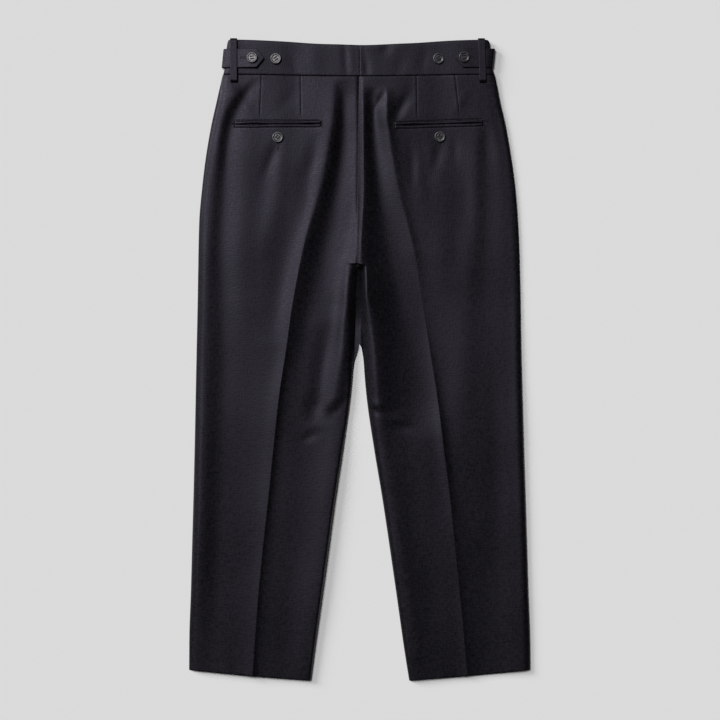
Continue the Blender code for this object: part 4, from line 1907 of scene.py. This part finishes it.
@dataclass
class Fastenings:
    """The six buttons: one through each strap, a spare beside it and one below each pocket."""

    button: HornButton
    adjusters: list[Adjuster]
    band: BandForm
    strap_gap: float = 0.5
    shank: float = 0.9
    lean_rise: float = 0.06
    strap_turn: float = 8.0
    spare_turn: float = 31.0
    pocket_turn: float = 50.0

    def rim_rest(self, height: Surface, x: float, down: float) -> float:
        """Highest point of the cloth under a button's rim."""
        around, radius = np.linspace(0, math.tau, 12), self.button.radius
        return float(height(x + radius * np.cos(around), down + radius * np.sin(around)).max())

    def seats(self) -> list[ButtonSeat]:
        """Where each button sits, raised a little where it leans.

        Returns:
            The seats, in the order of building.
        """
        seats = []
        for adjuster in self.adjusters:
            plan, word = adjuster.plan, adjuster.plan.side.value
            x, down, lean = plan.button_x, plan.button_down, plan.button_lean
            rest = adjuster.strap_height(x) + adjuster.cloth + self.strap_gap
            seats.append(ButtonSeat(f"button_strap_{word}", x, down, rest, self.strap_turn, lean))
            x, down, lean = plan.spare_x, plan.spare_down, plan.spare_lean
            rest = self.rim_rest(self.band.height, x, down) + self.shank
            seats.append(ButtonSeat(f"button_spare_{word}", x, down, rest, self.spare_turn, lean))
        for pocket in POCKETS:
            x, down, lean = pocket.button_x, pocket.button_down, pocket.button_lean
            rest = self.rim_rest(BackPanelForm(pocket.side).height, x, down) + self.shank
            node = f"button_pocket_{pocket.side.value}"
            seats.append(ButtonSeat(node, x, down, rest, self.pocket_turn, lean))
        return [seat._replace(z=seat.z + self.lean_rise * abs(seat.lean)) for seat in seats]

    def build(self) -> list[ButtonSeat]:
        """Set the six buttons.

        Returns:
            Where they sit.
        """
        blank, seats = self.button.blank(), self.seats()
        for seat in seats:
            self.button.place(blank, seat)
        bpy.data.meshes.remove(blank)
        return seats


class StitchLook(Enum):
    """How a stitch lies to the line that it follows: its turn in degrees."""

    ALONG = 0.0
    ACROSS = 90.0


@dataclass(frozen=True)
class Stitch:
    """A kind of stitch. The pitch is the distance between stitches, and the wander is in degrees."""

    pitch: float
    length: float
    radius: float
    look: StitchLook
    wander: float = 4.0


@dataclass
class Stitcher:
    """Sews stitches along lines with one node tree."""

    finishes: Finishes
    tree: Tree = field(init=False)

    def __post_init__(self) -> None:
        """Build the tree: a stitch at every pitch along the line, turned to it."""
        tree = bpy.data.node_groups.new("stitches_on_a_line", "GeometryNodeTree")
        tree.interface.new_socket("Geometry", in_out="INPUT", socket_type="NodeSocketGeometry")
        for name in ("Pitch", "Stitch Length", "Thread Radius", "Turn", "Wander"):
            tree.interface.new_socket(name, in_out="INPUT", socket_type="NodeSocketFloat")
        tree.interface.new_socket("Geometry", in_out="OUTPUT", socket_type="NodeSocketGeometry")
        inputs = add_node(tree, "NodeGroupInput", {}, {}).outputs
        curve = add_node(tree, "GeometryNodeMeshToCurve", {}, {0: inputs["Geometry"]}).outputs[0]
        even_links = {"Curve": curve, "Length": inputs["Pitch"]}
        even = add_node(tree, "GeometryNodeResampleCurve", {"mode": "LENGTH"}, even_links).outputs[0]
        ball_size = {"Segments": 8, "Rings": 6, "Radius": 1.0}
        ball = add_node(tree, "GeometryNodeMeshUVSphere", ball_size, {}).outputs["Mesh"]
        halved = {"operation": "MULTIPLY", 1: 0.5}
        half = add_node(tree, "ShaderNodeMath", halved, {0: inputs["Stitch Length"]}).outputs[0]
        axes = {"X": half, "Y": inputs["Thread Radius"], "Z": inputs["Thread Radius"]}
        size = add_node(tree, "ShaderNodeCombineXYZ", {}, axes).outputs[0]
        tangent = add_node(tree, "GeometryNodeInputTangent", {}, {}).outputs[0]
        upright = {"primary_axis": "X", "secondary_axis": "Z", "Secondary Axis": (0, 0, 1)}
        facing = add_node(tree, "FunctionNodeAxesToRotation", upright, {"Primary Axis": tangent}).outputs[0]
        fixed_seed = {"data_type": "FLOAT", 2: -1.0, 3: 1.0, "Seed": 7}
        chance = add_node(tree, "FunctionNodeRandomValue", fixed_seed, {}).outputs[1]
        shake_links = {0: chance, 1: inputs["Wander"]}
        shake = add_node(tree, "ShaderNodeMath", {"operation": "MULTIPLY"}, shake_links).outputs[0]
        angle_links = {0: shake, 1: inputs["Turn"]}
        angle = add_node(tree, "ShaderNodeMath", {"operation": "ADD"}, angle_links).outputs[0]
        spin = add_node(tree, "ShaderNodeCombineXYZ", {}, {"Z": angle}).outputs[0]
        turn_links = {"Rotation": facing, "Rotate By": spin}
        local = {"rotation_space": "LOCAL"}
        turned = add_node(tree, "FunctionNodeRotateRotation", local, turn_links).outputs[0]
        sewn_links = {"Points": even, "Instance": ball, "Rotation": turned, "Scale": size}
        sewn = add_node(tree, "GeometryNodeInstanceOnPoints", {}, sewn_links).outputs[0]
        real = add_node(tree, "GeometryNodeRealizeInstances", {}, {"Geometry": sewn}).outputs[0]
        smooth = add_node(tree, "GeometryNodeSetShadeSmooth", {}, {"Geometry": real}).outputs[0]
        thread = {"Material": self.finishes.thread}
        dyed = add_node(tree, "GeometryNodeSetMaterial", thread, {"Geometry": smooth}).outputs[0]
        add_node(tree, "NodeGroupOutput", {}, {0: dyed})
        self.tree = tree

    def sew(self, name: str, lines: list[Array], stitch: Stitch) -> Object:
        """Sew stitches along some lines.

        Args:
            name: Piece name.
            lines: Points of each line, in metres.
            stitch: The kind of stitch.

        Returns:
            The stitches as one plain mesh.
        """
        points: list[tuple[float, ...]] = []
        edges: list[tuple[int, int]] = []
        for line in lines:
            start = len(points)
            points.extend(tuple(point) for point in line)
            edges.extend((start + index, start + index + 1) for index in range(len(line) - 1))
        mesh = bpy.data.meshes.new(name)
        mesh.from_pydata(points, edges, [])
        obj = linked(name, mesh)
        modifier = obj.modifiers.new("Stitches", "NODES")
        modifier.node_group = self.tree
        values = {
            "Pitch": stitch.pitch * MM,
            "Stitch Length": stitch.length * MM,
            "Thread Radius": stitch.radius * MM,
            "Turn": math.radians(stitch.look.value),
            "Wander": math.radians(stitch.wander),
        }
        for item in self.tree.interface.items_tree:
            if item.in_out == "INPUT" and item.name in values:
                modifier[item.identifier] = values[item.name]
        settled(obj)
        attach(obj, BODY)
        LOG.info("%s: %d faces of stitches", name, len(obj.data.polygons))
        return obj


@dataclass
class Sewing:
    """Bartacks, buttonholes and the threads that hold the buttons."""

    stitcher: Stitcher
    bartack: Stitch = Stitch(0.42, 1.7, 0.24, StitchLook.ACROSS)
    loop_tack: Stitch = Stitch(1.3, 1.25, 0.2, StitchLook.ALONG)
    purl: Stitch = Stitch(0.36, 1.15, 0.2, StitchLook.ACROSS, 8.0)
    shank: Stitch = Stitch(0.5, 1.0, 0.27, StitchLook.ALONG, 3.0)
    tack_half: float = 5.4
    loop_tack_half: float = 4.2

    def line(self, corners: list[tuple[float, float]], height: Surface, lift: float, step: float) -> Array:
        """A line over the cloth through some corners.

        Args:
            corners: Corners as x and down.
            height: The cloth's height.
            lift: Distance above the cloth.
            step: Distance between points.

        Returns:
            Points in metres.
        """
        parts = []
        for start, end in zip(corners, corners[1:]):
            share = np.linspace(0, 1, max(2, int(math.dist(start, end) / step) + 1))[:, None]
            parts.append(np.array(start) * (1 - share) + np.array(end) * share)
        x, down = np.concatenate(parts).T
        return to_metres(x, down, height(x, down) + lift)

    def pocket_tacks(self, pocket: Pocket) -> Object:
        """Bartacks across both ends of a pocket.

        Args:
            pocket: The pocket.

        Returns:
            The stitches.
        """
        lines = []
        for x in (pocket.left_x - 1.0, pocket.right_x + 1.0):
            middle = float(pocket.middle(np.array(x)))
            ends = [(x, middle - self.tack_half), (x, middle + self.tack_half)]
            lines.append(self.line(ends, BackPanelForm(pocket.side).height, 0.35, 0.4))
        return self.stitcher.sew(f"pocket_tacks_{pocket.side.value}", lines, self.bartack)

    def loop_tacks(self, adjuster: Adjuster) -> Object:
        """The tack across a belt loop's lower end, and the row that holds it at the top.

        Args:
            adjuster: The strap with the loop.

        Returns:
            The stitches.
        """
        lines = []
        for down, lift in ((60.8, 2.15), (3.0, 2.3)):
            x = adjuster.loop_x(down)
            xs = np.linspace(x - self.loop_tack_half, x + self.loop_tack_half, 16)
            lines.append(to_metres(xs, down + 0 * xs, adjuster.carrier_height(x, down) + lift + 0 * xs))
        return self.stitcher.sew(f"loop_tacks_{adjuster.plan.side.value}", lines, self.loop_tack)

    def buttonhole(self, name: str, cut: list[tuple[float, float]], height: Surface) -> Object:
        """A worked buttonhole round a cut.

        Args:
            name: The buttonhole's place.
            cut: Both ends of the cut, as x and down.
            height: The cloth's height.

        Returns:
            The stitches.
        """
        start, end = cut
        run = (np.array(end) - np.array(start)) / math.dist(start, end)
        aside = np.array([-run[1], run[0]])
        corners = []
        for middle, first in ((start, 0.5), (end, -0.5)):
            for step in range(9):
                angle = math.pi * (first + step / 8)
                corners.append(tuple(np.array(middle) + run * math.cos(angle) + aside * math.sin(angle)))
        corners.append(corners[0])
        return self.stitcher.sew(f"buttonhole_{name}", [self.line(corners, height, 0.1, 0.25)], self.purl)

    def button_threads(self, button: HornButton, seats: list[ButtonSeat]) -> Object:
        """Threads through the four holes of each button.

        Args:
            button: The button's sizes.
            seats: Where the buttons sit.

        Returns:
            The threads as one piece.
        """
        share = np.linspace(-1, 1, 15)
        rise = 0.55 * np.sqrt(np.clip(1 - share**6, 0, 1)) - 0.5 * (np.abs(share) > 0.93)
        rise = rise + button.thickness - button.dish
        lines = []
        for seat in seats:
            angle = math.radians(seat.turn)
            axis = np.array([math.cos(angle), math.sin(angle)])
            normal = np.array([-math.sin(angle), math.cos(angle)])
            for sign in (-1.0, 1.0):
                for shift in (-0.45, 0.0, 0.45):
                    along = share[:, None] * button.hole_spread * 1.08 * axis
                    away = along + normal * (sign * button.hole_spread + shift)
                    lines.append(to_metres(seat.x + away[:, 0], seat.down - away[:, 1], seat.z + rise))
        return self.stitcher.sew("button_threads", lines, self.shank)

    def build(self, button: HornButton, seats: list[ButtonSeat], adjusters: list[Adjuster]) -> None:
        """Sew everything.

        Args:
            button: The button's sizes.
            seats: Where the buttons sit.
            adjusters: The side adjusters.
        """
        self.button_threads(button, seats)
        for pocket in POCKETS:
            self.pocket_tacks(pocket)
            x, down = pocket.button_x, pocket.button_down
            cut = [(x, down + 5.0), (x + 0.5, down + 17.0)]
            self.buttonhole(f"pocket_{pocket.side.value}", cut, BackPanelForm(pocket.side).height)
        for adjuster in adjusters:
            self.loop_tacks(adjuster)
            plan = adjuster.plan
            x, down = plan.button_x, plan.button_down
            cut = [(x, down - 0.4), (x - plan.side.turn * 17.0, down - 0.6)]
            self.buttonhole(f"strap_{plan.side.value}", cut, adjuster.strap_top)


@dataclass
class FlyShield:
    """The underlap behind the fly, hidden between the layers."""

    finishes: Finishes
    thickness: float = 0.9

    def build(self) -> Object:
        """Make the underlap from the solid's own box, narrowing in a curve at its lower end.

        Returns:
            The piece.
        """
        low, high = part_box("fly_shield")
        x, y = np.meshgrid(np.linspace(low.x, high.x, 12), np.linspace(high.y, low.y, 40))
        curve = 1 - ramp(low.y + 0.03 - y, 0.0, 0.03)
        x = low.x + (x - low.x) * (0.45 + 0.55 * curve)
        points = np.stack([x, y, high.z + 0 * x], axis=-1)
        piece = shell("fly_underlap", points, self.thickness, self.finishes.wool)
        return dressed(piece, "fly_shield")


@dataclass(frozen=True)
class SunSpec:
    """A distant soft light: compass direction that it comes from, height, breadth (degrees) and strength."""

    name: str
    azimuth: float
    elevation: float
    breadth: float
    strength: float


@dataclass
class Studio:
    """The pale floor, the soft light from the upper left and the camera straight above."""

    frame_width: float = 1.08
    camera_height: float = 2.5
    garment_height: float = 0.008
    camera_shift: float = 0.00045
    sensor: float = 36.0
    floor_half: float = 6.0
    ambient: float = 0.035
    ambient_tone: str = "eceef2"
    suns: tuple[SunSpec, ...] = (
        SunSpec("high_softbox", 135.0, 63.0, 24.0, 1.88),
        SunSpec("low_softbox", 150.0, 24.0, 24.0, 2.27),
    )

    def floor(self) -> None:
        """Lay a plain pale surface under the trousers."""
        signs = ((-1, -1), (1, -1), (1, 1), (-1, 1))
        corners = [(x * self.floor_half, y * self.floor_half, 0) for x, y in signs]
        mesh = bpy.data.meshes.new("studio_floor")
        mesh.from_pydata(corners, [], [(0, 1, 2, 3)])
        mesh.materials.append(PaperBackdrop().build())
        linked("studio_floor", mesh)

    def camera(self) -> None:
        """Look straight down, with the frame centred on the garment."""
        data = bpy.data.cameras.new("camera")
        data.sensor_width = self.sensor
        data.lens = self.sensor * (self.camera_height - self.garment_height) / self.frame_width
        obj = bpy.data.objects.new("camera", data)
        obj.location = (self.camera_shift, self.camera_shift, self.camera_height)
        bpy.context.scene.collection.objects.link(obj)
        bpy.context.scene.camera = obj

    def light(self, spec: SunSpec) -> None:
        """Hang one distant light, so that the floor is lit evenly.

        Args:
            spec: The light.
        """
        data = bpy.data.lights.new(spec.name, "SUN")
        data.angle = math.radians(spec.breadth)
        data.energy = spec.strength
        obj = bpy.data.objects.new(spec.name, data)
        azimuth, elevation = math.radians(spec.azimuth), math.radians(spec.elevation)
        level = math.cos(elevation)
        away = Vector((math.cos(azimuth) * level, math.sin(azimuth) * level, math.sin(elevation)))
        obj.location = away * 3
        obj.rotation_euler = (-away).to_track_quat("-Z", "Y").to_euler()
        bpy.context.scene.collection.objects.link(obj)

    def build(self) -> None:
        """Set up the whole studio."""
        self.floor()
        self.camera()
        for spec in self.suns:
            self.light(spec)
        world = bpy.data.worlds.new("studio")
        world.use_nodes = True
        sky = world.node_tree.nodes["Background"].inputs
        sky["Color"].default_value = hex_colour(self.ambient_tone)
        sky["Strength"].default_value = self.ambient
        bpy.context.scene.world = world
        bpy.context.scene.view_settings.view_transform = "Standard"
        bpy.context.scene.view_settings.look = "None"


def main() -> None:
    """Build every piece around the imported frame."""
    logging.basicConfig(level=logging.INFO, format="%(name)s: %(message)s")
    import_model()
    finishes = Finishes()
    legs = Legs(finishes).build()
    band_form = BandForm()
    band = Waistband(finishes, band_form).build()
    adjusters = [Adjuster(plan, finishes, band_form) for plan in STRAP_PLANS]
    straps = [adjuster.strap() for adjuster in adjusters]
    loops = [adjuster.loop() for adjuster in adjusters]
    pockets = [JettedPocket(pocket, finishes) for pocket in POCKETS]
    lips = [[pocket.lip(True), pocket.lip(False)] for pocket in pockets]
    shield = FlyShield(finishes).build()
    button = HornButton(finishes)
    seats = Fastenings(button, adjusters, band_form).build()
    Sewing(Stitcher(finishes)).build(button, seats, adjusters)
    Studio().build()


if __name__ == "__main__":
    main()
